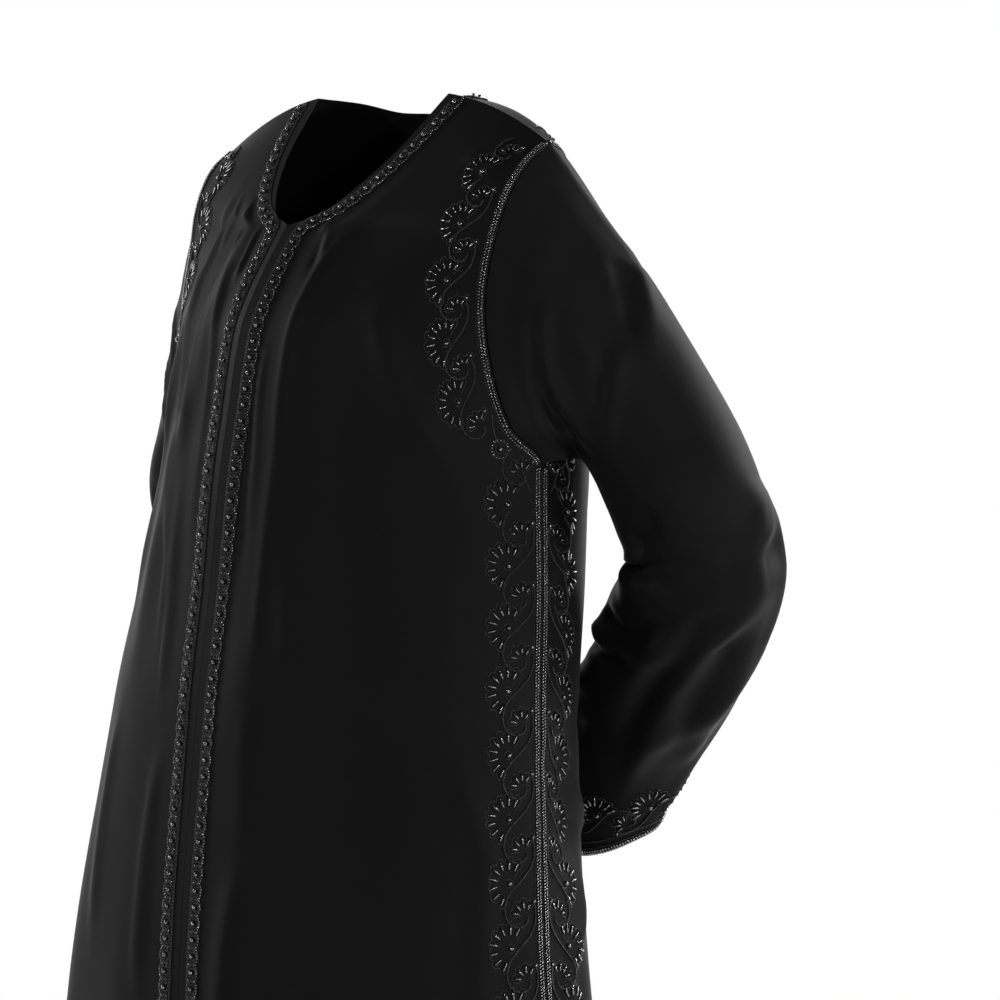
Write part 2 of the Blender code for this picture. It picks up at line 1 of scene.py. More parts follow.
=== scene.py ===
"""Looks of a black crepe abaya cloak, worn closed, with corded bead embroidery.

Metres, +Z up. The front faces -Y and the wearer's left is +X. The robe hangs from its
shoulder seams, whose high points lie beside the origin.
"""

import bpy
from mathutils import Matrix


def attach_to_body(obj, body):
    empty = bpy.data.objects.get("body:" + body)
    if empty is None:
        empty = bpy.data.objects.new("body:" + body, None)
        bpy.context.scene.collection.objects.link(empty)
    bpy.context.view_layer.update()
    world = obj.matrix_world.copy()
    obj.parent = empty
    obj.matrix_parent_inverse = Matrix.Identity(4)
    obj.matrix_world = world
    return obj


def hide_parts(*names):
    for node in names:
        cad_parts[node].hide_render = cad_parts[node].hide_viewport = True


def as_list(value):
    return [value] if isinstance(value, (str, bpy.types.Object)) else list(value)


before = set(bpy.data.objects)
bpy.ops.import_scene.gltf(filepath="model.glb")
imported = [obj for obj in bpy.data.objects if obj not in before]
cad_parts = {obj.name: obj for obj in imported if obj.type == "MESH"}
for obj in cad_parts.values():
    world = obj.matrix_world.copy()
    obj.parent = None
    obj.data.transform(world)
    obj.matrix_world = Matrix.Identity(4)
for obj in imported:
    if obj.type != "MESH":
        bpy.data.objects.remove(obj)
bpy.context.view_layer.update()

import logging
import math
from collections.abc import Callable, Sequence
from dataclasses import dataclass, field
from enum import Enum

import bpy
import numpy as np
from mathutils import Vector
from mathutils.bvhtree import BVHTree

Array = np.ndarray
Socket = bpy.types.NodeSocket
log = logging.getLogger("abaya")
MM = 0.001


class Side(Enum):
    """The wearer's two sides, as the sign of x."""

    LEFT = 1
    RIGHT = -1

    @property
    def label(self) -> str:
        """The side's name in lower case."""
        return self.name.lower()


class Bloom(Enum):
    """What stands at the head of a vine's repeat."""

    FLOWER = "flower"
    ROSETTE = "rosette"
    NONE = "none"


def smooth(at: Array | float, start: float, end: float) -> Array:
    """A soft step.

    Args:
        at: Where to read it.
        start: It is 0 before this.
        end: It is 1 after this.

    Returns:
        The step's values.
    """
    u = np.clip((np.asarray(at, float) - start) / (end - start), 0.0, 1.0)
    return u * u * (3 - 2 * u)


def unit(vectors: Array) -> Array:
    """The vectors at length 1."""
    return vectors / np.maximum(np.linalg.norm(vectors, axis=-1, keepdims=True), 1e-12)


def run_of(points: Array) -> Array:
    """Length along a line of points, from 0 at its start."""
    steps = np.linalg.norm(np.diff(points, axis=0), axis=-1)
    return np.concatenate([[0.0], np.cumsum(steps)])


def many(kind: type, *rows: tuple) -> tuple:
    """One of a kind for each row of its sizes."""
    return tuple(kind(*row) for row in rows)


@dataclass(frozen=True)
class SizeTable:
    """Rows of sizes, read between their stops on smooth curves.

    The first column holds the stops.
    """

    columns: tuple[str, ...]
    rows: tuple[tuple[float, ...], ...]

    def read(self, at: Array) -> dict[str, Array]:
        """Values of each column.

        Args:
            at: The stops to read them at.

        Returns:
            Each column's name and its values there.
        """
        table = np.array(sorted(self.rows), float)
        stops = table[:, 0]
        at = np.clip(np.asarray(at, float), stops[0], stops[-1])
        low = np.clip(np.searchsorted(stops, at, side="right") - 1, 0, len(stops) - 2)
        step = stops[low + 1] - stops[low]
        u = (at - stops[low]) / step
        found = {}
        for name, values in zip(self.columns[1:], table[:, 1:].T):
            slopes = self._slopes(values, stops)
            rise = (3 - 2 * u) * u * u
            start = values[low] * (1 - rise) + values[low + 1] * rise
            bend = slopes[low] * u * (1 - u) ** 2 - slopes[low + 1] * u * u * (1 - u)
            found[name] = start + bend * step
        return found

    @staticmethod
    def _slopes(values: Array, stops: Array) -> Array:
        """Slopes at the rows that never carry the curve past its neighbours.

        Args:
            values: A column's values.
            stops: Their stops.

        Returns:
            A slope for each row.
        """
        steps = np.diff(values) / np.diff(stops)
        before, after = steps[:-1], steps[1:]
        rising = before * after > 0
        total = np.where(rising, before + after, 1.0)
        middle = np.where(rising, 2 * before * after / total, 0.0)
        return np.concatenate([steps[:1], middle, steps[-1:]])


@dataclass(frozen=True)
class Crease:
    """A soft ridge or trough along a bent line.

    path holds (round, along) stops in thousandths: q and z on the body, turn and run on a
    sleeve. depth is outward and width is half the crease's breadth, both in millimetres. lean
    above 0 makes the side towards higher q or turn steeper. The ends fade over a share of its
    length, down to the tip's share of its depth, and it reaches out by some widths.
    """

    path: tuple[tuple[float, float], ...]
    depth: float
    width: float
    lean: float = 0.0
    fade: float = 0.25
    tip: float = 0.12
    reach: float = 3.0

    def height(self, across: Array, along: Array, scale: tuple[float, float], wrap: float) -> Array:
        """How far the crease lifts the cloth.

        Args:
            across: q or turn of each point.
            along: z or run of each point.
            scale: Metres for one unit of each.
            wrap: How far round it closes on itself, or 0.

        Returns:
            The lift at each point, in metres.
        """
        stops = np.array(self.path, float) / 1000 * scale
        length = run_of(stops)
        best = np.full(np.shape(across), np.inf)
        side = np.zeros_like(best)
        part = np.zeros_like(best)
        for k in range(len(stops) - 1):
            way = stops[k + 1] - stops[k]
            from_x = across * scale[0] - stops[k][0]
            if wrap:
                whole = wrap * scale[0]
                from_x = (from_x + whole / 2) % whole - whole / 2
            from_y = along * scale[1] - stops[k][1]
            size = float(way @ way)
            t = np.clip((from_x * way[0] + from_y * way[1]) / size, 0, 1)
            off_x, off_y = from_x - t * way[0], from_y - t * way[1]
            far = np.hypot(off_x, off_y)
            nearer = far < best
            best = np.where(nearer, far, best)
            side = np.where(nearer, np.sign(off_x), side)
            run = (length[k] + t * (length[k + 1] - length[k])) / length[-1]
            part = np.where(nearer, run, part)
        width = self.width / 1000 * np.where(side > 0, 1 - 0.5 * self.lean, 1 + 0.5 * self.lean)
        ends = smooth(part, 0, self.fade) * (1 - smooth(part, 1 - self.fade, 1))
        ends = self.tip + (1 - self.tip) * ends
        ends = ends * (1 - smooth(best, 0, self.reach * width))
        return self.depth / 1000 * ends * np.exp(-((best / width) ** 2))


SKIRT = SizeTable(
    ("z", "half_width", "front", "back", "middle", "front_power", "back_power", "straight"),
    (
        (-1.38, 0.345, 0.219, 0.218, -0.026, 1.95, 2.05, 0),
        (-1.1, 0.308, 0.187, 0.194, -0.04, 1.9, 2.05, 0),
        (-0.75, 0.268, 0.152, 0.171, -0.05, 1.85, 2.05, 0),
        (-0.5, 0.24, 0.151, 0.147, -0.031, 1.8, 2.1, 0),
        (-0.4, 0.227, 0.152, 0.15, -0.016, 1.78, 2.15, 0.05),
        (-0.297, 0.2113, 0.156, 0.152, 0, 1.75, 2.2, 0.14),
        (-0.262, 0.2085, 0.151, 0.149, 0.006, 1.75, 2.2, 0.18),
    ),
)
YOKE_COLUMNS = (
    "share", "inner_x", "inner_y", "inner_z", "outer_x", "outer_y", "outer_z",
    "reach", "straight", "power", "crown",
)
FRONT_YOKE = SizeTable(
    YOKE_COLUMNS,
    (
        (-0.1, 0, -0.161, -0.332, 0.216, -0.006, -0.332, 1, 0.1, 1.76, 0),
        (0, 0, -0.156, -0.297, 0.2113, 0, -0.297, 1, 0.14, 1.75, 0),
        (0.1, 0, -0.149, -0.262, 0.204, -0.029, -0.267, 0.87, 0.19, 1.75, 0),
        (0.2, 0, -0.1425, -0.226, 0.195, -0.0385, -0.228, 0.79, 0.25, 1.8, 0),
        (0.3, 0, -0.1335, -0.188, 0.19, -0.0425, -0.19, 0.75, 0.31, 1.85, 0),
        (0.4, 0, -0.1185, -0.158, 0.188, -0.041, -0.163, 0.75, 0.37, 1.9, 0),
        (0.5, 0, -0.1025, -0.133, 0.188, -0.037, -0.14, 0.77, 0.43, 1.95, 0),
        (0.6, 0, -0.084, -0.107, 0.19, -0.032, -0.118, 0.8, 0.5, 2, 0.001),
        (0.7, 0.026, -0.073, -0.097, 0.193, -0.026, -0.096, 0.85, 0.58, 2, 0.002),
        (0.8, 0.05, -0.052, -0.074, 0.196, -0.016, -0.074, 0.9, 0.7, 2, 0.003),
        (0.9, 0.07, -0.02, -0.04, 0.199, 0, -0.054, 0.95, 0.86, 2, 0.005),
        (1, 0.082, 0.022, 0.004, 0.2, 0.0214, -0.04, 1, 1, 2, 0.007),
    ),
)
BACK_YOKE = SizeTable(
    YOKE_COLUMNS,
    (
        (-0.1, 0, 0.146, -0.332, 0.216, -0.006, -0.332, 1, 0, 2.18, 0),
        (0, 0, 0.152, -0.297, 0.2113, 0, -0.297, 1, 0, 2.2, 0),
        (0.1, 0, 0.155, -0.258, 0.204, 0.04, -0.272, 0.85, 0, 2.2, 0),
        (0.2, 0, 0.154, -0.219, 0.195, 0.062, -0.24, 0.74, 0, 2.2, 0),
        (0.3, 0, 0.149, -0.18, 0.189, 0.072, -0.205, 0.69, 0.03, 2.2, 0),
        (0.4, 0, 0.14, -0.139, 0.187, 0.075, -0.17, 0.66, 0.08, 2.2, 0),
        (0.5, 0, 0.126, -0.098, 0.186, 0.073, -0.138, 0.66, 0.15, 2.2, 0.002),
        (0.6, 0, 0.108, -0.055, 0.188, 0.067, -0.105, 0.7, 0.28, 2.1, 0.006),
        (0.7, 0, 0.089, -0.01, 0.191, 0.058, -0.074, 0.78, 0.45, 2, 0.01),
        (0.8, 0.036, 0.081, -0.008, 0.194, 0.047, -0.054, 0.88, 0.65, 2, 0.012),
        (0.9, 0.065, 0.058, 0, 0.197, 0.035, -0.044, 0.95, 0.85, 2, 0.011),
        (1, 0.082, 0.022, 0.004, 0.2, 0.0214, -0.04, 1, 1, 2, 0.007),
    ),
)
FRONT_NECK = 0.6
BACK_NECK = 0.7
# Levels of the sewing notches up the armhole, from the underarm to the shoulder seam.
ARMHOLE_LEVELS = tuple(np.linspace(0, 0.6, 8)) + (0.7, 0.775, 0.85, 0.925, 0.9988)


@dataclass(frozen=True)
class LongFold:
    """A fold of the hanging skirt, from (top_z, top_q) down to (low_z, low_q).

    It fades in, and out where it stops above the hem, between shares of the way down.
    """

    top_z: float
    top_q: float
    low_z: float
    low_q: float
    top_depth: float
    low_depth: float
    top_width: float
    low_width: float
    fade_in: tuple[float, float] = (-0.12, 0.10)
    fade_out: tuple[float, float] = (0.85, 1.35)

    def height(self, q: Array, z: Array, hem: float) -> Array:
        """How far the fold lifts the cloth.

        Args:
            q: Where round the robe.
            z: How high.
            hem: z of the robe's hem.

        Returns:
            The lift.
        """
        run = (self.top_z - z) / (self.top_z - self.low_z)
        held = np.clip(run, 0, 1)
        away = q - (self.top_q + (self.low_q - self.top_q) * held)
        away = (away + 2) % 4 - 2
        width = self.top_width + (self.low_width - self.top_width) * held
        depth = self.top_depth + (self.low_depth - self.top_depth) * held
        ends = smooth(run, *self.fade_in)
        if self.low_z > hem + 0.01:
            ends = ends * (1 - smooth(run, *self.fade_out))
        return depth * ends * np.exp(-((away / width) ** 2))


LONG_FOLDS = many(
    LongFold,
    (-0.08, 0.27, -0.52, 0.15, 0.003, 0.006, 0.075, 0.07),
    (-0.1, -0.26, -0.4, -0.36, 0.004, 0.006, 0.06, 0.07),
    (-0.16, 0.55, -0.34, 0.74, 0.002, 0.005, 0.06, 0.08),
    (-0.16, -0.58, -0.36, -0.75, 0.002, 0.005, 0.06, 0.08),
    (-0.55, 0.17, -1.38, 0.22, 0.001, 0.017, 0.09, 0.085),
    (-0.62, 0.52, -1.38, 0.56, 0.001, 0.015, 0.1, 0.095),
    (-0.7, 0.86, -1.38, 0.88, 0.001, 0.013, 0.1, 0.09),
    (-0.6, 1.22, -1.38, 1.24, 0.002, 0.016, 0.09, 0.09),
    (-0.5, 1.58, -1.38, 1.55, 0.002, 0.018, 0.1, 0.095),
    (-0.66, 1.9, -1.38, 1.93, 0.001, 0.014, 0.1, 0.09),
    (-0.6, -0.2, -1.38, -0.25, 0.001, 0.016, 0.09, 0.085),
    (-0.58, -0.55, -1.38, -0.6, 0.001, 0.015, 0.1, 0.095),
    (-0.72, -0.9, -1.38, -0.94, 0.001, 0.013, 0.1, 0.09),
    (-0.56, -1.28, -1.38, -1.26, 0.002, 0.017, 0.09, 0.09),
    (-0.64, -1.64, -1.38, -1.62, 0.002, 0.015, 0.1, 0.095),
)

# Soft creases of the body: (q, z) stops, depth, half breadth, lean and fade.
BODY_CREASES = many(
    Crease,
    # From the left neckline past the bust and straight down beside the band.
    (((360, -90), (330, -112), (281, -123), (259, -142), (244, -172), (236, -210),
      (226, -255), (205, -300), (194, -345), (187, -400), (184, -470)), 1.5, 5.5, 0.4, 0.12),
    (((390, -107), (350, -145), (300, -185), (284, -233), (256, -287)), 1.4, 18),
    (((150, -94), (200, -110), (255, -132)), 2.2, 6.5),
    (((190, -104), (214, -122), (222, -148)), -1.8, 6),
    (((148, -190), (140, -250), (135, -300), (134, -360)), 1.8, 7),
    (((118, -240), (112, -310), (115, -390)), -1.5, 7.5),
    (((248, -385), (256, -420), (262, -465)), 2.4, 10),
    (((180, -480), (171, -530), (176, -615)), 1.8, 9),
    (((168, -610), (156, -653), (144, -687), (136, -735), (132, -810)), 4.5, 10.5, 0.4),
    (((690, -510), (729, -555), (790, -605), (772, -676), (756, -760)), 3.6, 14.5),
    (((560, -180), (640, -230), (700, -300)), 2.2, 15),
    (((500, -46), (690, -53), (860, -64)), 4.8, 7.5),
    # The right front is drawn towards the neckline, in sharper tucks.
    (((-189, -82), (-211, -90), (-251, -98), (-318, -107), (-321, -116), (-318, -135)), 2.6, 5.2),
    (((-181, -105), (-189, -113), (-190, -131), (-194, -152)), 2.6, 5),
    (((-314, -78), (-331, -86), (-356, -94), (-411, -101), (-456, -110), (-461, -130)), 2.2, 5.6),
    (((-126, -132), (-119, -148), (-116, -172)), 2.2, 5),
    (((-380, -75), (-500, -105), (-560, -150), (-505, -200), (-445, -240), (-350, -290),
      (-285, -330), (-240, -380), (-215, -460)), 4.2, 11.5, -0.3, 0.15),
    (((-345, -140), (-354, -176), (-351, -200), (-335, -238), (-280, -278), (-236, -320),
      (-209, -368), (-186, -415), (-170, -500)), 3.2, 8.5, -0.4, 0.15),
    (((-300, -125), (-245, -166), (-192, -210), (-172, -255), (-144, -300), (-128, -370)),
     3.2, 8, -0.4),
    (((-640, -190), (-600, -290), (-520, -430)), 3.4, 14),
    (((-150, -520), (-160, -610), (-148, -740)), 3.6, 10),
    (((-430, -500), (-440, -590), (-405, -700)), 2.8, 12.5),
    (((-740, -540), (-780, -640), (-760, -770)), 3.4, 14),
    # The back: down from the yoke, and drawn in under the wearer's hands.
    (((1880, -130), (1850, -240), (1800, -360), (1790, -500)), 3.6, 12.5),
    (((-1840, -110), (-1790, -250), (-1730, -380), (-1700, -520)), 3.4, 11),
    (((1420, -180), (1490, -290), (1540, -430)), 3.4, 12.5),
    (((-1380, -200), (-1450, -330), (-1500, -470)), 3, 11),
    (((1640, -240), (1680, -330), (1690, -440)), -2.6, 13),
    (((1090, -500), (1150, -560), (1190, -625)), -8.5, 38),
    (((-1090, -500), (-1150, -560), (-1190, -625)), -8.5, 38),
    (((1150, -325), (1105, -372), (1045, -412)), 2.8, 7),
    (((1270, -615), (1219, -662), (1110, -700), (1135, -760)), 3.8, 10),
    (((1160, -545), (1340, -578), (1520, -600)), 4, 11),
    (((-1180, -530), (-1370, -575), (-1570, -605)), 3.8, 12),
    (((1250, -480), (1420, -525), (1600, -560)), -3, 12),
    # Below the knee, between the long folds.
    (((350, -830), (375, -1000), (362, -1230)), 3, 12),
    (((670, -900), (705, -1120), (690, -1380)), 3.4, 13, 0, 0.1),
    (((80, -900), (92, -1100), (85, -1300)), -2.6, 12),
    (((-370, -880), (-395, -1060), (-380, -1340)), 3.2, 12.5),
    (((-710, -840), (-740, -1040), (-725, -1250)), 3, 14),
    (((1050, -860), (1070, -1080), (1060, -1330)), -3, 13),
    (((1400, -780), (1425, -980), (1410, -1290)), 3.4, 13),
    (((1750, -840), (1770, -1060), (1745, -1380)), 3.2, 12.5, 0, 0.1),
    (((-1100, -800), (-1120, -1010), (-1090, -1260)), 3, 13),
    (((-1450, -850), (-1470, -1060), (-1445, -1380)), 3.6, 13, 0, 0.1),
    (((-1820, -780), (-1850, -1000), (-1835, -1280)), 3, 12),
)

SLEEVE = SizeTable(
    ("share", "x", "y", "z", "radius_out", "radius_side", "slant"),
    (
        (0, 0.261, 0.088, -0.29, 0.057, 0.062, 0),
        (0.16, 0.281, 0.096, -0.33, 0.06, 0.061, 0),
        (0.32, 0.29, 0.112, -0.371, 0.061, 0.061, 0),
        (0.48, 0.27, 0.121, -0.413, 0.065, 0.06, 0),
        (0.64, 0.236, 0.131, -0.456, 0.066, 0.058, 0),
        (0.82, 0.181, 0.145, -0.523, 0.058, 0.051, 0.01),
        (1, 0.136, 0.162, -0.601, 0.039, 0.04, 0.03),
    ),
)


@dataclass(frozen=True)
class SleeveFold:
    """A fold of a sleeve, from (top_run, top_turn) to (low_run, low_turn).

    It fades in and out between shares of the way.
    """

    top_run: float
    top_turn: float
    low_run: float
    low_turn: float
    depth: float
    width: float
    fade_in: tuple[float, float] = (-0.35, 0.20)
    fade_out: tuple[float, float] = (0.80, 1.35)

    def height(self, run: Array, turn: Array) -> Array:
        """How far the fold lifts the cloth.

        Args:
            run: How far along the sleeve.
            turn: How far round it.

        Returns:
            The lift.
        """
        part = (run - self.top_run) / (self.low_run - self.top_run)
        bend = (self.low_turn - self.top_turn + 0.5) % 1 - 0.5
        middle = self.top_turn + bend * np.clip(part, 0, 1)
        away = (turn - middle + 0.5) % 1 - 0.5
        ends = smooth(part, *self.fade_in) * (1 - smooth(part, *self.fade_out))
        return self.depth * ends * np.exp(-((away / self.width) ** 2))


SLEEVE_FOLDS = many(
    SleeveFold,
    (0.44, 0.08, 0.62, 0.34, 0.007, 0.05),
    (0.5, 0.02, 0.78, 0.26, 0.006, 0.045),
    (0.54, 0.95, 0.96, 0.14, 0.006, 0.045),
    (0.12, 0.4, 0.4, 0.3, 0.005, 0.055),
    (0.42, 0.7, 0.66, 0.58, 0.005, 0.06),
    (0.2, 0.74, 0.46, 0.86, 0.004, 0.06),
    # The outer edge: fuller on the upper arm, and drawn in from the elbow to the cuff.
    (0.14, 0, 0.36, 0, 0.007, 0.1),
    (0.54, 0, 0.9, 0, -0.011, 0.11),
)

# Soft creases of a sleeve: (turn, run) stops, then as for the body.
SLEEVE_CREASES = many(
    Crease,
    # The head of the sleeve, and a fold that falls from its outer edge.
    (((15, 50), (985, 75), (940, 105)), 4, 12),
    (((985, 95), (998, 125), (25, 150), (60, 175), (120, 206), (180, 236)), 4.8, 8.5, 0.6),
    (((46, 122), (68, 148), (100, 168), (150, 192)), -4, 8),
    # Folds that gather at the armpit.
    (((378, 280), (385, 218), (376, 161), (362, 127), (330, 108), (280, 92), (215, 80)),
     4.6, 8.5, 0.5, 0.18),
    (((398, 262), (412, 173), (406, 118), (388, 90)), -5, 8.5),
    (((345, 290), (292, 240), (229, 213), (156, 190)), 3.4, 9),
    (((320, 250), (270, 205), (200, 176)), -2.8, 9.5),
    (((388, 272), (425, 200), (456, 130), (452, 70)), 4.4, 7.2),
    (((410, 275), (468, 165), (490, 95)), -3.4, 7.5),
    (((240, 110), (250, 160), (262, 205)), 2.2, 11),
    # The bend of the elbow: a hollow, notches along the inner edge, and a fan from the point.
    (((440, 424), (385, 418), (348, 409), (306, 400)), -10, 8.5),
    (((520, 437), (450, 437), (400, 436)), 4, 6),
    (((540, 458), (460, 454), (400, 449), (340, 454)), -7, 6.5),
    (((540, 545), (470, 542), (410, 524), (340, 500)), 6.2, 14),
    (((560, 646), (480, 633), (425, 617), (375, 584), (325, 556)), -7.2, 7.2, -0.4),
    (((560, 682), (480, 668), (420, 650)), 4.8, 8.5),
    (((580, 722), (510, 705), (455, 690), (400, 664), (350, 636)), -7, 7.2, -0.4),
    (((560, 775), (490, 756), (420, 728)), 4.8, 10),
    (((560, 850), (470, 830), (400, 790)), -4, 9),
    (((395, 470), (300, 470), (205, 478)), 2.8, 10),
    (((0, 487), (100, 485), (170, 488)), -8, 7.5, 0, 0.3),
    (((175, 495), (235, 503), (305, 534), (344, 603), (375, 738)), 4.6, 10.5, 0.3, 0.32),
    (((170, 508), (212, 520), (250, 560), (271, 650), (271, 761), (268, 900)), 5, 10.5, 0.4, 0.25),
    (((180, 497), (268, 539), (306, 640), (325, 790)), -5, 9),
    (((150, 508), (198, 552), (219, 658), (206, 790)), -4.2, 9.5),
    (((120, 515), (150, 580), (160, 700), (140, 850)), 3.6, 11),
    # The same kinds of fold on the side towards the back.
    (((990, 505), (905, 532), (830, 600), (790, 740)), 4.8, 11),
    (((960, 478), (880, 492), (790, 530), (710, 610)), -4.6, 9.5),
    (((930, 540), (880, 620), (860, 760), (870, 900)), -3.6, 10),
    (((640, 440), (720, 448), (800, 462)), -6, 8),
    (((620, 560), (690, 560), (760, 590)), 4.4, 11),
    (((600, 650), (670, 655), (740, 690)), -4.2, 8),
    (((620, 275), (655, 205), (710, 145), (790, 110)), 4.4, 9.5),
    (((585, 270), (610, 195), (660, 120)), -4, 9),
    (((900, 190), (850, 270), (820, 370)), 3.4, 12),
    (((740, 760), (690, 830), (640, 900)), 3.6, 10),
)


@dataclass(frozen=True)
class Robe:
    """The robe's form on the wearer, read at any place on it.

    q goes round: 0 front edges, 1 left side seam, 2 centre back, -1 right side seam. level is
    -1 at the hem, 0 at the underarm and 1 at the shoulder seam.
    """

    length: float = 1.38
    underarm_z: float = -0.297
    # The right side is held in to this share of the left, from above the knee to the underarm.
    right_side_scale: float = 0.93
    held_in: tuple[float, float] = (-0.85, -0.30)
    # A quarter round the body in metres, for the sizes of its creases.
    quarter: float = 0.33
    # The folds come in between these depths below the shoulder.
    smooth_shoulder: tuple[float, float] = (0.02, 0.10)
    folds: tuple[LongFold, ...] = LONG_FOLDS
    creases: tuple[Crease, ...] = BODY_CREASES

    def form(self, q: Array, level: Array) -> Array:
        """Points of the robe without folds.

        Args:
            q: Where round the robe.
            level: How high up it.

        Returns:
            The points.
        """
        q, level = np.broadcast_arrays(np.asarray(q, float), np.asarray(level, float))
        turn = np.abs(q)
        is_back = turn > 1
        share = np.where(is_back, 2 - turn, turn)
        z = self.underarm_z + np.minimum(level, 0) * (self.length + self.underarm_z)
        skirt = SKIRT.read(z)
        middle = skirt["middle"]
        low = {
            "inner_x": np.zeros_like(z),
            "inner_y": np.where(is_back, middle + skirt["back"], middle - skirt["front"]),
            "inner_z": z,
            "outer_x": skirt["half_width"],
            "outer_y": middle,
            "outer_z": z,
            "reach": np.ones_like(z),
            "straight": np.where(is_back, 0.0, skirt["straight"]),
            "power": np.where(is_back, skirt["back_power"], skirt["front_power"]),
            "crown": np.zeros_like(z),
        }
        up = np.maximum(level, 0)
        front, back = FRONT_YOKE.read(up), BACK_YOKE.read(up)
        row = {
            name: np.where(level <= 0, low[name], np.where(is_back, back[name], front[name]))
            for name in YOKE_COLUMNS[1:]
        }
        inner_x = np.maximum(row["inner_x"], 0.0)
        end = row["reach"] * math.pi / 2
        sharp = 2 / row["power"]
        across = (np.sin(share * end) / np.sin(end)) ** sharp
        along = (1 - np.abs(np.cos(share * end)) ** sharp) / (1 - np.abs(np.cos(end)) ** sharp)
        flat = row["straight"]
        across = across * (1 - flat) + share * flat
        along = along * (1 - flat) + share * flat
        x = inner_x + (row["outer_x"] - inner_x) * across
        y = row["inner_y"] + (row["outer_y"] - row["inner_y"]) * along
        height = row["inner_z"] + (row["outer_z"] - row["inner_z"]) * share
        height = height + row["crown"] * 4 * share * (1 - share)
        narrow = 1 - (1 - self.right_side_scale) * smooth(height, *self.held_in)
        return np.stack([np.where(q < 0, -x * narrow, x), y, height], axis=-1)

    def normals(self, q: Array, level: Array, step: float = 0.004) -> Array:
        """Outward normals of the form, taken inside one front or inside the back.

        Args:
            q: Where round the robe.
            level: How high up it.
            step: How far off the form is read for them.

        Returns:
            The normals.
        """
        q, level = np.broadcast_arrays(np.asarray(q, float), np.asarray(level, float))
        turn, left = np.abs(q), q >= 0
        at_front, at_back = turn < step, turn > 2 - step
        at_armhole = (level > 1e-6) & (np.abs(turn - 1) < step)
        before = (turn <= 1) == left
        stop_high = (at_armhole & before) | (at_front & ~left) | (at_back & left)
        stop_low = (at_armhole & ~before) | (at_front & left) | (at_back & ~left)
        high, low = np.where(stop_high, q, q + step), np.where(stop_low, q, q - step)
        around = unit(self.form(high, level) - self.form(low, level))
        above, below = np.minimum(level + step, 1), np.maximum(level - step, -1)
        upward = self.form(q, above) - self.form(q, below)
        found = unit(np.cross(around, unit(upward)))
        edge = (np.abs(q) < 1e-6) & (level < FRONT_NECK)
        edge |= (np.abs(q) > 2 - 1e-6) & (level < BACK_NECK)
        found[edge, 0] = 0.0
        return unit(found)

    def lift(self, q: Array, z: Array) -> Array:
        """How far folds and creases lift the cloth.

        Args:
            q: Where round the robe.
            z: How high.

        Returns:
            The lift.
        """
        total = np.zeros(np.broadcast(q, z).shape)
        for fold in self.folds:
            total = total + fold.height(q, z, -self.length)
        for crease in self.creases:
            total = total + crease.height(q, z, (self.quarter, 1.0), 4.0)
        return total * smooth(-z, *self.smooth_shoulder)

    def cloth(self, q: Array, level: Array) -> Array:
        """Outer points of the cloth, folds and all."""
        points = self.form(q, level)
        return points + self.normals(q, level) * self.lift(q, points[..., 2])[..., None]

    def armhole(self, side: Side, turns: Array) -> Array:
        """Points of an armhole.

        Args:
            side: Which armhole.
            turns: 0 at the shoulder tip, then down the front to 0.5 underarm, and up the back.

        Returns:
            The points.
        """
        last = len(ARMHOLE_LEVELS) - 1
        notch = np.abs(((turns + 0.5) % 1) - 0.5) * 2 * last
        level = np.interp(last - notch, range(last + 1), ARMHOLE_LEVELS)
        q = np.where(turns <= 0.5, 1 - 1e-6, 1 + 1e-6)
        return self.cloth(side.value * q, level)


@dataclass
class ClothGrid:
    """Outer points of a piece of cloth in rows and columns, as it hangs.

    A ring grid closes on itself across its columns. Where split_at names a column, the cloth is
    cut between that column and the next, but the two are one for the first joined_rows rows.
    """

    points: Array
    ring: bool = False
    turned: bool = False
    split_at: int = -1
    joined_rows: int = 0

    @property
    def shape(self) -> tuple[int, int]:
        """Rows and columns."""
        return self.points.shape[:2]

    def indices(self) -> Array:
        """The vertex that each place of the grid uses.

        Returns:
            Its number, in rows and columns.
        """
        rows, columns = self.shape
        index = np.arange(rows * columns).reshape(rows, columns)
        if self.split_at >= 0:
            joined = index[: self.joined_rows]
            joined[:, self.split_at + 1] = joined[:, self.split_at]
        return index

    def cells(self) -> Array:
        """The cells of the grid, facing out.

        Returns:
            The four corners of each.
        """
        index = self.indices()
        right = np.roll(index, -1, axis=1)
        found = np.stack([index[:-1], right[:-1], right[1:], index[1:]], axis=-1)
        if not self.ring:
            found = found[:, :-1]
        if self.split_at >= 0:
            found = np.delete(found, self.split_at, axis=1)
        found = found.reshape(-1, 4)
        return found[:, ::-1] if self.turned else found

    def normals(self) -> Array:
        """Outward normals, from the faces round each point.

        Returns:
            Their directions, in rows and columns.
        """
        points = self.points.reshape(-1, 3)
        cells = self.cells()
        a, b, c, d = (points[cells[:, k]] for k in range(4))
        face = np.cross(c - a, d - b)
        total = np.zeros_like(points)
        for k in range(4):
            np.add.at(total, cells[:, k], face)
        return unit(total)[self.indices()]


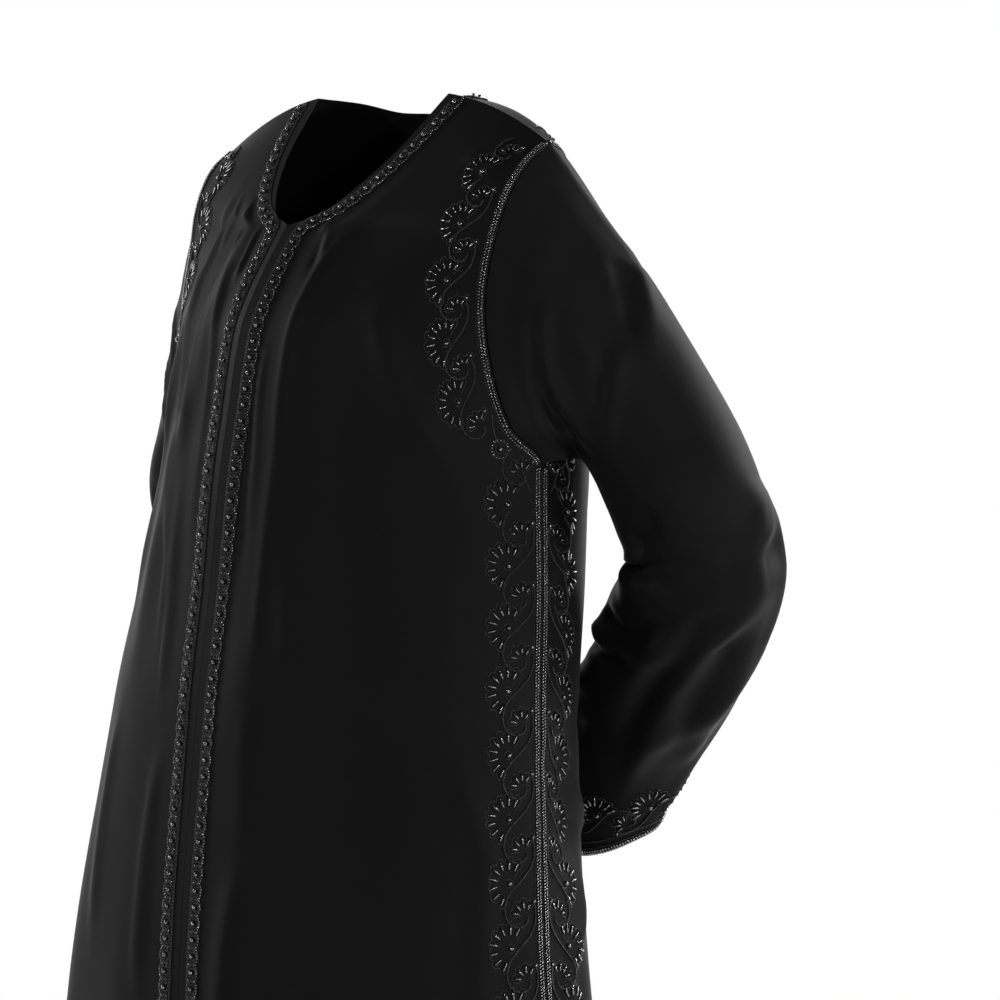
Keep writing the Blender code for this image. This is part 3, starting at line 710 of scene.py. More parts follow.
def set_mesh(name: str, points: Array, loops: Array, sizes: Array, uv: Array) -> bpy.types.Object:
    """A smooth-shaded object.

    Args:
        name: The object's name.
        points: Vertices.
        loops: Vertex index of each face corner, face after face.
        sizes: Corners of each face.
        uv: UV in metres at each face corner.

    Returns:
        The object, in the scene.
    """
    mesh = bpy.data.meshes.new(name)
    mesh.vertices.add(len(points))
    mesh.vertices.foreach_set("co", np.asarray(points, np.float32).ravel())
    mesh.loops.add(len(loops))
    mesh.loops.foreach_set("vertex_index", np.asarray(loops, np.int32))
    mesh.polygons.add(len(sizes))
    starts = np.concatenate([[0], np.cumsum(sizes)[:-1]])
    mesh.polygons.foreach_set("loop_start", starts.astype(np.int32))
    mesh.update(calc_edges=True)
    mesh.shade_smooth()
    layer = mesh.uv_layers.new(name="UVMap")
    layer.data.foreach_set("uv", np.asarray(uv, np.float32).ravel())
    mesh.validate()
    made = bpy.data.objects.new(name, mesh)
    bpy.context.scene.collection.objects.link(made)
    return made


def cloth_shell(name: str, grid: ClothGrid, thickness: Array | float) -> bpy.types.Object:
    """A thin closed shell of cloth.

    Args:
        name: The object's name.
        grid: Its outer points.
        thickness: How far in the inner face lies, for all or for each point.

    Returns:
        The shell, with UV in metres across and along the cloth.
    """
    rows, columns = grid.shape
    outer = grid.points.reshape(-1, 3)
    deep = np.broadcast_to(thickness, grid.shape).reshape(-1, 1)
    inner = outer - grid.normals().reshape(-1, 3) * deep
    count = len(outer)
    cells = grid.cells()
    sides = np.concatenate([cells[:, [k, (k + 1) % 4]] for k in range(4)])
    way = sides[:, 0] * count + sides[:, 1]
    back = sides[:, 1] * count + sides[:, 0]
    rim = sides[~np.isin(way, back)]
    wall = np.stack([rim[:, 1], rim[:, 0], rim[:, 0] + count, rim[:, 1] + count], axis=1)
    quads = np.concatenate([cells, cells[:, ::-1] + count, wall])
    across = np.linalg.norm(np.diff(grid.points, axis=1), axis=2)
    across = np.concatenate([np.zeros((rows, 1)), np.cumsum(across, axis=1)], axis=1)
    up = np.linalg.norm(np.diff(grid.points, axis=0), axis=2).mean(axis=1)
    up = np.concatenate([[0], np.cumsum(up)])
    per_point = np.stack([across, np.repeat(up[:, None], columns, axis=1)], axis=-1)
    per_point = np.tile(per_point.reshape(-1, 2), (2, 1))
    uv = per_point[quads]
    if grid.ring:
        around = across[:, -1].mean() * columns / (columns - 1)
        spread = uv[..., 0].max(axis=1) - uv[..., 0].min(axis=1)
        wraps = (spread > around / 2)[:, None] & (uv[..., 0] < around / 2)
        uv[..., 0] += np.where(wraps, around, 0)
    used, loops = np.unique(quads.ravel(), return_inverse=True)
    points = np.concatenate([outer, inner])[used]
    return set_mesh(name, points, loops, np.full(len(quads), 4), uv.reshape(-1, 2))


class Ground:
    """The outer face of some of the cloth, for needlework to be seated on."""

    def __init__(self, *grids: ClothGrid) -> None:
        """Keeps the cloth's faces and normals.

        Args:
            grids: The pieces of cloth.
        """
        points, facing, faces = [], [], []
        count = 0
        for grid in grids:
            cells = grid.cells() + count
            points.append(grid.points.reshape(-1, 3))
            facing.append(grid.normals().reshape(-1, 3))
            faces += [cells[:, [0, 1, 2]], cells[:, [0, 2, 3]]]
            count += len(points[-1])
        self.points = np.concatenate(points)
        self.facing = np.concatenate(facing)
        self.faces = np.concatenate(faces)
        self.tree = BVHTree.FromPolygons(self.points.tolist(), self.faces.tolist())

    def seat(self, wanted: Array, lift: Array | float = 0.0) -> tuple[Array, Array]:
        """The nearest places on the cloth.

        Args:
            wanted: Points near it.
            lift: How far above the cloth the result lies.

        Returns:
            The seated points, and the cloth's normals there.
        """
        flat = wanted.reshape(-1, 3)
        found = [self.tree.find_nearest(point) for point in flat.tolist()]
        seats = np.array([hit[0] for hit in found])
        face = self.faces[[hit[2] for hit in found]]
        a, b, c = (self.points[face[:, k]] for k in range(3))
        whole = np.cross(b - a, c - a)
        size = np.maximum((whole * whole).sum(1), 1e-18)
        share_b = (np.cross(seats - a, c - a) * whole).sum(1) / size
        share_c = (np.cross(b - a, seats - a) * whole).sum(1) / size
        shares = np.stack([1 - share_b - share_c, share_b, share_c], axis=1)[..., None]
        normals = unit((self.facing[face] * shares).sum(axis=1))
        seats = seats + normals * np.broadcast_to(lift, wanted.shape[:-1]).reshape(-1, 1)
        return seats.reshape(wanted.shape), normals.reshape(wanted.shape)


@dataclass
class Guide:
    """A line on the cloth that needlework follows.

    run is metres along it, and off is metres from it towards its inner side. Its direction is
    taken over reach before and after each place.
    """

    ground: Ground
    line: Array
    inward: Array
    closed: bool = False
    reach: float = 4 * MM

    def __post_init__(self) -> None:
        """Works out the line's length."""
        if self.closed:
            self.line = np.concatenate([self.line, self.line[:1]])
            self.inward = np.concatenate([self.inward, self.inward[:1]])
        self.stops = run_of(self.line)
        self.length = float(self.stops[-1])

    def _read(self, values: Array, run: Array) -> Array:
        """Values at places along the line."""
        return np.stack([np.interp(run, self.stops, values[:, k]) for k in range(3)], -1)

    def place(self, run: Array, off: Array) -> Array:
        """Points beside the line, before they are seated.

        Args:
            run: How far along it.
            off: How far in from it.

        Returns:
            The points.
        """
        run, off = np.broadcast_arrays(np.asarray(run, float), np.asarray(off, float))
        at = run % self.length if self.closed else run
        held = np.clip(at, 0, self.length)
        way = self._read(self.line, held + self.reach) - self._read(self.line, held - self.reach)
        way = unit(way)
        inward = unit(self._read(self.inward, held))
        inward = unit(inward - way * (inward * way).sum(-1, keepdims=True))
        point = self._read(self.line, held)
        return point + inward * off[..., None] + way * (at - held)[..., None]


class Template:
    """A small shape that is modelled once and copied, bead by bead."""

    def __init__(self, build: Callable[[], None]) -> None:
        """Models the shape with operators and keeps its mesh.

        Args:
            build: Adds the shape at the origin and leaves it active.
        """
        bpy.ops.object.select_all(action="DESELECT")
        build()
        shape = bpy.context.active_object
        mesh = shape.data
        self.points = np.array([vertex.co[:] for vertex in mesh.vertices])
        self.loops = np.array([loop.vertex_index for loop in mesh.loops])
        self.sizes = np.array([len(face.vertices) for face in mesh.polygons])
        bpy.data.objects.remove(shape, do_unlink=True)
        bpy.data.meshes.remove(mesh)


def model_seed_bead() -> None:
    """A round seed bead of radius 1, slightly flattened where its hole is."""
    bpy.ops.mesh.primitive_uv_sphere_add(segments=6, ring_count=3, radius=1.12)
    bpy.ops.object.mode_set(mode="EDIT")
    bpy.ops.mesh.select_all(action="SELECT")
    bpy.ops.transform.resize(value=(1.0, 1.0, 0.86), center_override=(0, 0, 0))
    bpy.ops.object.mode_set(mode="OBJECT")


def model_round_bead() -> None:
    """A round faceted bead of radius 1."""
    bpy.ops.mesh.primitive_uv_sphere_add(segments=8, ring_count=6, radius=1.0)


def model_bugle_bead() -> None:
    """A bugle bead along X: a glass tube of length 2 and radius 1 with softened ends."""
    bpy.ops.mesh.primitive_cylinder_add(
        vertices=6, radius=1.0, depth=1.7, rotation=(0, math.pi / 2, 0)
    )
    bpy.ops.object.transform_apply(location=False, rotation=True, scale=False)
    bpy.ops.object.mode_set(mode="EDIT")
    bpy.ops.mesh.select_all(action="DESELECT")
    bpy.ops.object.mode_set(mode="OBJECT")
    for face in bpy.context.active_object.data.polygons:
        face.select = abs(face.normal.x) > 0.9
    bpy.ops.object.mode_set(mode="EDIT")
    bpy.ops.mesh.select_mode(type="FACE")
    bpy.ops.mesh.inset(thickness=0.28)
    bpy.ops.transform.resize(value=(1.0 / 0.85, 1.0, 1.0), center_override=(0, 0, 0))
    bpy.ops.object.mode_set(mode="OBJECT")


@dataclass
class Threadwork:
    """Gathers cords or beads into one mesh."""

    points: list[Array] = field(default_factory=list)
    loops: list[Array] = field(default_factory=list)
    sizes: list[Array] = field(default_factory=list)
    uvs: list[Array] = field(default_factory=list)
    count: int = 0
    end_taper: float = 0.45

    def _add(self, points: Array, loops: Array, sizes: Array, uv: Array) -> None:
        """Adds one shape.

        Args:
            points: Its vertices.
            loops: Vertex index of each face corner.
            sizes: Corners of each face.
            uv: UV of each face corner.
        """
        self.points.append(points)
        self.loops.append(loops + self.count)
        self.sizes.append(sizes)
        self.uvs.append(uv)
        self.count += len(points)

    def add_cord(
        self, line: Array, normals: Array, radius: float, sides: int, closed: bool
    ) -> None:
        """Adds a round cord.

        Args:
            line: Its centre line.
            normals: The cloth's normals along it.
            radius: Half its thickness.
            sides: Faces round it.
            closed: Whether its end meets its start.
        """
        if closed:
            way = unit(np.roll(line, -1, axis=0) - np.roll(line, 1, axis=0))
        else:
            way = unit(np.gradient(line, axis=0))
        up = unit(normals - way * (normals * way).sum(1, keepdims=True))
        aside = np.cross(way, up)
        angle = np.arange(sides) * 2 * math.pi / sides
        ring = aside[:, None] * np.cos(angle)[:, None] + up[:, None] * np.sin(angle)[:, None]
        taper = np.ones(len(line))
        if not closed:
            taper[[0, -1]] = self.end_taper
        points = line[:, None] + ring * (radius * taper)[:, None, None]
        index = np.arange(len(line) * sides).reshape(-1, sides)
        low = index if closed else index[:-1]
        high = np.roll(index, -1, axis=0) if closed else index[1:]
        quads = np.stack([low, np.roll(low, -1, 1), np.roll(high, -1, 1), high], axis=-1)
        quads = quads.reshape(-1, 4)
        run = run_of(np.concatenate([line, line[:1]]) if closed else line)
        near, far = np.arange(sides) / sides, np.arange(sides) / sides + 1 / sides
        u = np.stack([near, far, far, near], axis=-1)
        v = np.stack([run[:-1], run[:-1], run[1:], run[1:]], axis=-1)[:, None]
        uv = np.stack(np.broadcast_arrays(u, v), axis=-1).reshape(-1, 4, 2)
        loops = quads[:, ::-1].ravel()
        uv = uv[:, ::-1].reshape(-1, 2)
        sizes = np.full(len(quads), 4)
        if not closed:
            loops = np.concatenate([loops, index[0], index[-1][::-1]])
            sizes = np.concatenate([sizes, [sides, sides]])
            uv = np.concatenate([uv, np.zeros((2 * sides, 2))])
        self._add(points.reshape(-1, 3), loops, sizes, uv)

    def add_beads(
        self, shape: Template, places: Array, ways: Array, normals: Array, size: Sequence[float]
    ) -> None:
        """Adds copies of a bead.

        Args:
            shape: The bead.
            places: Their centres.
            ways: Their own X directions.
            normals: Their own Z directions.
            size: Half sizes along their X, Y and Z.
        """
        x = unit(ways - normals * (ways * normals).sum(1, keepdims=True))
        y = np.cross(normals, x)
        local = shape.points * np.asarray(size, float)
        points = (
            places[:, None]
            + x[:, None] * local[None, :, :1]
            + y[:, None] * local[None, :, 1:2]
            + normals[:, None] * local[None, :, 2:]
        )
        offset = np.arange(len(places))[:, None] * len(local)
        loops = (shape.loops[None] + offset).ravel()
        uv = np.tile(shape.points[shape.loops][:, :2], (len(places), 1)) * MM
        self._add(points.reshape(-1, 3), loops, np.tile(shape.sizes, len(places)), uv)

    def build(self, name: str) -> bpy.types.Object:
        """Makes the object."""
        parts = (self.points, self.loops, self.sizes, self.uvs)
        return set_mesh(name, *(np.concatenate(part) for part in parts))


def curve_through(stops: Sequence[Sequence[float]], step: float) -> Array:
    """A smooth line through a few stops.

    Args:
        stops: The points it passes.
        step: About how far apart its own points lie.

    Returns:
        The line's points.
    """
    knots = np.array(stops, float)
    before = 2 * knots[:1] - knots[1:2]
    after = 2 * knots[-1:] - knots[-2:-1]
    padded = np.concatenate([before, knots, after])
    parts = []
    for k in range(len(knots) - 1):
        a, b, c, d = padded[k : k + 4]
        count = max(round(np.linalg.norm(c - b) / step), 2)
        t = np.linspace(0, 1, count, endpoint=False)[:, None]
        bend = 2 * a - 5 * b + 4 * c - d
        turn = 3 * b - a - 3 * c + d
        parts.append(0.5 * (2 * b + (c - a) * t + bend * t * t + turn * t**3))
    parts.append(knots[-1:])
    return np.concatenate(parts)


def add_node(
    tree: bpy.types.NodeTree, kind: str, values: dict | None = None, links: dict | None = None,
    **settings: object,
) -> bpy.types.Node:
    """Adds a shader node.

    Args:
        tree: Where to.
        kind: Its type.
        values: Input names or numbers, and the constants they get.
        links: Input names or numbers, and the sockets that feed them.
        settings: The node's own settings.

    Returns:
        The node.
    """
    made = tree.nodes.new(kind)
    for name, value in settings.items():
        setattr(made, name, value)
    for name, value in (values or {}).items():
        made.inputs[name].default_value = value
    for name, socket in (links or {}).items():
        tree.links.new(socket, made.inputs[name])
    return made


def linear(colour: str) -> tuple[float, float, float, float]:
    """Linear RGBA of an sRGB hex colour."""
    parts = [int(colour[k : k + 2], 16) / 255 for k in (1, 3, 5)]
    red, green, blue = (c / 12.92 if c <= 0.04045 else ((c + 0.055) / 1.055) ** 2.4 for c in parts)
    return red, green, blue, 1.0


class Nodes:
    """The shader nodes of one material."""

    def __init__(self, name: str) -> None:
        """Starts the material with its shader.

        Args:
            name: The material's name.
        """
        self.material = bpy.data.materials.new(name)
        self.material.use_nodes = True
        self.tree = self.material.node_tree
        self.place = add_node(self.tree, "ShaderNodeTexCoord")

    def uv_scaled(self, across: float, along: float) -> Socket:
        """The UV map, scaled across and along the piece."""
        uv = self.place.outputs["UV"]
        scale = {"Scale": (across, along, 1.0)}
        return add_node(self.tree, "ShaderNodeMapping", scale, {"Vector": uv}).outputs["Vector"]

    def noise(self, at: Socket, scale: float, **values: float) -> Socket:
        """Soft random patches, whose size is 1 over scale."""
        made = add_node(self.tree, "ShaderNodeTexNoise", {"Scale": scale, **values}, {"Vector": at})
        return made.outputs["Fac"]

    def spread(self, factor: Socket, low: float, high: float, start: float = 0.0) -> Socket:
        """A factor that goes from start to 1, made to go from low to high."""
        made = add_node(self.tree, "ShaderNodeMapRange", {1: start, 3: low, 4: high}, {0: factor})
        return made.outputs[0]

    def bump(self, height: Socket, strength: float, distance: float) -> Socket:
        """Normals of a pattern in relief."""
        depth = {"Strength": strength, "Distance": distance}
        return add_node(self.tree, "ShaderNodeBump", depth, {"Height": height}).outputs["Normal"]

    def maths(self, operation: str, values: dict, links: dict) -> Socket:
        """The result of one sum."""
        return add_node(self.tree, "ShaderNodeMath", values, links, operation=operation).outputs[0]

    def finish(self, inputs: dict[str, object]) -> bpy.types.Material:
        """Sets up the shader.

        Args:
            inputs: Its inputs, and the socket or constant that each gets.

        Returns:
            The material.
        """
        shader = self.tree.nodes["Principled BSDF"]
        for name, value in inputs.items():
            if isinstance(value, Socket):
                self.tree.links.new(value, shader.inputs[name])
            else:
                shader.inputs[name].default_value = value
        return self.material


@dataclass(frozen=True)
class CrepeFinish:
    """Matt polyester crepe: near black, with a fine pebbled grain and a soft bloom at its edges."""

    name: str = "black_polyester_crepe"
    deep: str = "#09090a"
    faded: str = "#111012"
    bloom: str = "#e8e4e2"
    roughness: float = 0.60
    unevenness: float = 0.06
    # The real grain is 0.5 mm; it is drawn at 1.3 mm so that it shows.
    grain: float = 1.3 * MM
    grain_relief: float = 0.25 * MM
    patch: float = 0.14
    shine: float = 0.08
    sheen: float = 0.05

    def material(self) -> bpy.types.Material:
        """Builds the cloth's material.

        Returns:
            The material.
        """
        nodes = Nodes(self.name)
        thread = nodes.uv_scaled(1 / self.grain, 0.55 / self.grain)
        pebble = nodes.noise(thread, 1.0, Detail=3.0, Roughness=0.62, Distortion=0.6)
        patch = nodes.noise(nodes.place.outputs["Object"], 1 / self.patch, Detail=3.0)
        colours = {6: linear(self.deep), 7: linear(self.faded)}
        tone = add_node(nodes.tree, "ShaderNodeMix", colours, {0: patch}, data_type="RGBA")
        low, high = self.roughness - self.unevenness, self.roughness + self.unevenness
        return nodes.finish(
            {
                "Base Color": tone.outputs[2],
                "Roughness": nodes.spread(pebble, low, high),
                "Normal": nodes.bump(pebble, 0.55, self.grain_relief),
                "Specular IOR Level": self.shine,
                "Sheen Weight": self.sheen,
                "Sheen Roughness": 0.35,
                "Sheen Tint": linear(self.bloom),
            }
        )


@dataclass(frozen=True)
class CordFinish:
    """Satin couching cord: black viscose plied round a core, which gives slanted glints."""

    name: str = "black_satin_couching_cord"
    colour: str = "#0b0b0c"
    roughness: float = 0.34
    # The real ply is 0.8 mm; it is drawn at 2.4 mm so that it shows.
    lay: float = 2.4 * MM
    ply_relief: float = 0.30 * MM
    sheen: float = 0.08

    def material(self) -> bpy.types.Material:
        """Builds the cord's material, whose UV runs round and along it.

        Returns:
            The material.
        """
        nodes = Nodes(self.name)
        uv = nodes.place.outputs["UV"]
        around, along, _ = add_node(nodes.tree, "ShaderNodeSeparateXYZ", links={0: uv}).outputs
        turn = nodes.maths("MULTIPLY_ADD", {1: 1 / self.lay}, {0: along, 2: around})
        angle = nodes.maths("MULTIPLY", {1: math.tau}, {0: turn})
        ply = nodes.maths("SINE", {}, {0: angle})
        return nodes.finish(
            {
                "Base Color": linear(self.colour),
                "Roughness": nodes.spread(ply, self.roughness + 0.1, self.roughness - 0.06, -1.0),
                "Normal": nodes.bump(ply, 1.0, self.ply_relief),
                "Specular IOR Level": 0.5,
                "Sheen Weight": self.sheen,
                "Sheen Roughness": 0.3,
            }
        )


@dataclass(frozen=True)
class SatinStitchFinish:
    """Machine satin stitch: close black threads across a tape, which catch light in ribs."""

    name: str = "black_satin_stitch"
    colour: str = "#070708"
    roughness: float = 0.50
    shine: float = 0.15
    # Threads lie 0.4 mm apart; the ribs are drawn at 1.5 mm so that they show.
    rib: float = 1.5 * MM
    rib_relief: float = 0.35 * MM

    def material(self) -> bpy.types.Material:
        """Builds the stitched tape's material.

        Returns:
            The material.
        """
        nodes = Nodes(self.name)
        waves = {"Scale": 0.32, "Distortion": 3.5, "Detail": 2.0, "Detail Scale": 1.4}
        at = nodes.uv_scaled(0.35 / self.rib, 1 / self.rib)
        ribs = add_node(nodes.tree, "ShaderNodeTexWave", waves, {"Vector": at}, bands_direction="Y")
        return nodes.finish(
            {
                "Base Color": linear(self.colour),
                "Roughness": self.roughness,
                "Normal": nodes.bump(ribs.outputs["Fac"], 0.6, self.rib_relief),
                "Specular IOR Level": self.shine,
            }
        )


@dataclass(frozen=True)
class GlassFinish:
    """Jet-black glass with a bright polish: sharp white glints, dulled in places by handling."""

    name: str = "jet_glass_beads"
    colour: str = "#050506"
    roughness: float = 0.07
    refraction: float = 2.1
    wear: float = 2.5 * MM

    def material(self) -> bpy.types.Material:
        """Builds the beads' material.

        Returns:
            The material.
        """
        nodes = Nodes(self.name)
        dull = nodes.noise(nodes.place.outputs["Object"], 1 / self.wear, Detail=2.0)
        return nodes.finish(
            {
                "Base Color": linear(self.colour),
                "Roughness": nodes.spread(dull, self.roughness - 0.05, self.roughness + 0.10),
                "IOR": self.refraction,
                "Coat Weight": 1.0,
                "Coat Roughness": 0.04,
            }
        )


@dataclass(frozen=True)
class FloorFinish:
    """Matt studio paper: pale and even, with a faint unevenness."""

    name: str = "matt_studio_paper"
    colour: str = "#f1f1f1"

    def material(self) -> bpy.types.Material:
        """Builds the floor's material.

        Returns:
            The material.
        """
        nodes = Nodes(self.name)
        mottle = nodes.noise(nodes.place.outputs["Object"], 3.0)
        return nodes.finish(
            {"Base Color": linear(self.colour), "Roughness": nodes.spread(mottle, 0.82, 0.92)}
        )


@dataclass(frozen=True)
class Haberdashery:
    """The finishes and bead shapes that the whole robe shares."""

    crepe: bpy.types.Material
    cord: bpy.types.Material
    tape: bpy.types.Material
    glass: bpy.types.Material
    seed: Template
    round_bead: Template
    bugle: Template

    @classmethod
    def prepare(cls) -> "Haberdashery":
        """Builds the materials and models each bead once.

        Returns:
            The supplies.
        """
        return cls(
            crepe=CrepeFinish().material(),
            cord=CordFinish().material(),
            tape=SatinStitchFinish().material(),
            glass=GlassFinish().material(),
            seed=Template(model_seed_bead),
            round_bead=Template(model_round_bead),
            bugle=Template(model_bugle_bead),
        )


def attach(
    piece: bpy.types.Object, material: bpy.types.Material, nodes: Sequence[str] = ()
) -> bpy.types.Object:
    """Dresses a piece and ties it to the frame.

    Args:
        piece: The piece.
        material: What it is made of.
        nodes: CAD nodes that it stands for.

    Returns:
        The piece.
    """
    piece.data.materials.append(material)
    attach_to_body(piece, "root")
    if nodes:
        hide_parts(*nodes)
    log.info("%s: %d faces", piece.name, len(piece.data.polygons))
    return piece


@dataclass
class Needlework:
    """Couched cord and glass beads on one part of the robe, sewn to its ground."""

    name: str
    supplies: Haberdashery
    ground: Ground
    cords: Threadwork = field(default_factory=Threadwork)
    beads: Threadwork = field(default_factory=Threadwork)
    # How high their centres lie over the cloth, for a half thickness of 1.
    cord_seat: float = 0.55
    bead_seat: float = 0.8

    def couch(
        self, near: Array, radius: float, sides: int = 5, closed: bool = False,
        rise: Array | float = 0.0,
    ) -> None:
        """Sews down a cord.

        Args:
            near: A line close to the cloth.
            radius: Half the cord's thickness.
            sides: Faces round it.
            closed: Whether it meets itself.
            rise: How much further it stands off the cloth, as where cords cross.
        """
        line, normals = self.ground.seat(near, radius * self.cord_seat + rise)
        self.cords.add_cord(line, normals, radius, sides, closed)

    def sew_beads(
        self, shape: Template, near: Array, aim: Array, size: Sequence[float], rise: float = 0.0
    ) -> None:
        """Sews down beads.

        Args:
            shape: The bead.
            near: Places close to the cloth.
            aim: Places that their own X directions point to.
            size: Half sizes along, across and out of the cloth.
            rise: How much further they stand off the cloth, as on a tape.
        """
        if not len(near):
            return
        lift = size[2] * self.bead_seat + rise
        seats, normals = self.ground.seat(near, lift)
        targets, _ = self.ground.seat(aim, lift)
        self.beads.add_beads(shape, seats, targets - seats, normals, size)

    def finish(self, nodes: Sequence[str] = ()) -> list[bpy.types.Object]:
        """Makes the pieces.

        Args:
            nodes: CAD nodes that the cords stand for.

        Returns:
            The cords and the beads.
        """
        made = []
        if self.cords.count:
            cords = self.cords.build(f"{self.name}_cords")
            made.append(attach(cords, self.supplies.cord, nodes))
        if self.beads.count:
            beads = self.beads.build(f"{self.name}_beads")
            made.append(attach(beads, self.supplies.glass))
        return made


@dataclass(frozen=True)
class Stretch:
    """A stretch of a guide, from start to end along it, and the work that follows it."""

    work: Needlework
    guide: Guide
    start: float
    end: float

    @classmethod
    def within(cls, work: Needlework, guide: Guide, gaps: Sequence[float]) -> "Stretch":
        """All of a guide but for a gap at its start and one at its end."""
        return cls(work, guide, gaps[0], guide.length - gaps[1])

    @property
    def length(self) -> float:
        """Its length on the guide."""
        return self.end - self.start

    def stops(self, step: float, least: int = 2) -> Array:
        """Even stops over it, about step apart."""
        return np.linspace(self.start, self.end, max(int(self.length / step), least))

    def cord(self, run: Array, off: Array | float, radius: float, **how: object) -> None:
        """Sews a cord through places off to the side of the guide, as couch does."""
        self.work.couch(self.guide.place(run, off), radius, **how)

    def row(
        self, shape: Template, run: Array, off: Array | float, size: Sequence[float],
        rise: float = 0.0, ahead: float = 1 * MM,
    ) -> None:
        """Sews beads that point along the guide.

        Args:
            shape: The bead.
            run: How far along the guide each is.
            off: How far in from it.
            size: Half sizes along, across and out of the cloth.
            rise: How much further they stand off the cloth.
            ahead: How far along the guide each one's X direction is taken.
        """
        near, aim = self.guide.place(run, off), self.guide.place(run + ahead, off)
        self.work.sew_beads(shape, near, aim, size, rise)


@dataclass(frozen=True)
class Spot:
    """Where one repeat of a vine is sewn: x goes to the guide's line and y along it."""

    work: Needlework
    guide: Guide
    run: float
    off: float
    scale: float

    def near(self, xy: Array) -> Array:
        """Places close to the cloth for points of the repeat."""
        along = self.run + xy[..., 1] * self.scale
        return self.guide.place(along, self.off - xy[..., 0] * self.scale)


def spoke(centre: Sequence[float], angle: Array, radius: Array | float) -> Array:
    """Points of a repeat at an angle and radius round a centre."""
    x = centre[0] + radius * np.cos(angle)
    y = centre[1] - radius * np.sin(angle)
    return np.stack([x, y], axis=-1)


def circle(centre: Sequence[float], radius: float, count: int) -> Array:
    """Points of a repeat on a circle."""
    return spoke(centre, np.arange(count) * math.tau / count, radius)


@dataclass(frozen=True)
class Fan:
    """A fan of bugle beads inside a scalloped outline of cord.

    Radii are from the fan's centre: of the bugles' two ends, and of the outline over each.
    """

    centre: tuple[float, float]
    angles: Array
    bugle: tuple[float, float]
    outer: float
    dip: float
    steps: int = 8
    scallop_power: float = 0.8
    # The outline's ends turn in to the centre, over these shares of its radius.
    stalk: tuple[float, float] = (0.30, 0.88)

    def sew(self, spot: Spot, bugle_radius: float, cord: float) -> None:
        """Sews the fan.

        Args:
            spot: Where to.
            bugle_radius: Half a bugle's thickness.
            cord: Half the outline's thickness.
        """
        work = spot.work
        inner, outer = self.bugle
        size = ((outer - inner) / 2 * spot.scale, bugle_radius, bugle_radius)
        near = spot.near(spoke(self.centre, self.angles, (inner + outer) / 2))
        aim = spot.near(spoke(self.centre, self.angles, outer))
        work.sew_beads(work.supplies.bugle, near, aim, size)
        half = self.steps // 2
        turn = np.arange(-half, len(self.angles) * self.steps - half + 1) / self.steps
        sweep = self.angles[0] + turn * (self.angles[1] - self.angles[0])
        scallop = 1 - np.abs(np.cos(math.pi * turn)) ** self.scallop_power
        radius = self.outer - self.dip * scallop
        stalk = np.linspace(*self.stalk, half)
        first = spoke(self.centre, sweep[:1], radius[0] * stalk)
        last = spoke(self.centre, sweep[-1:], radius[-1] * stalk[::-1])
        whole = np.concatenate([first, spoke(self.centre, sweep, radius), last])
        work.couch(spot.near(whole), cord, sides=4)


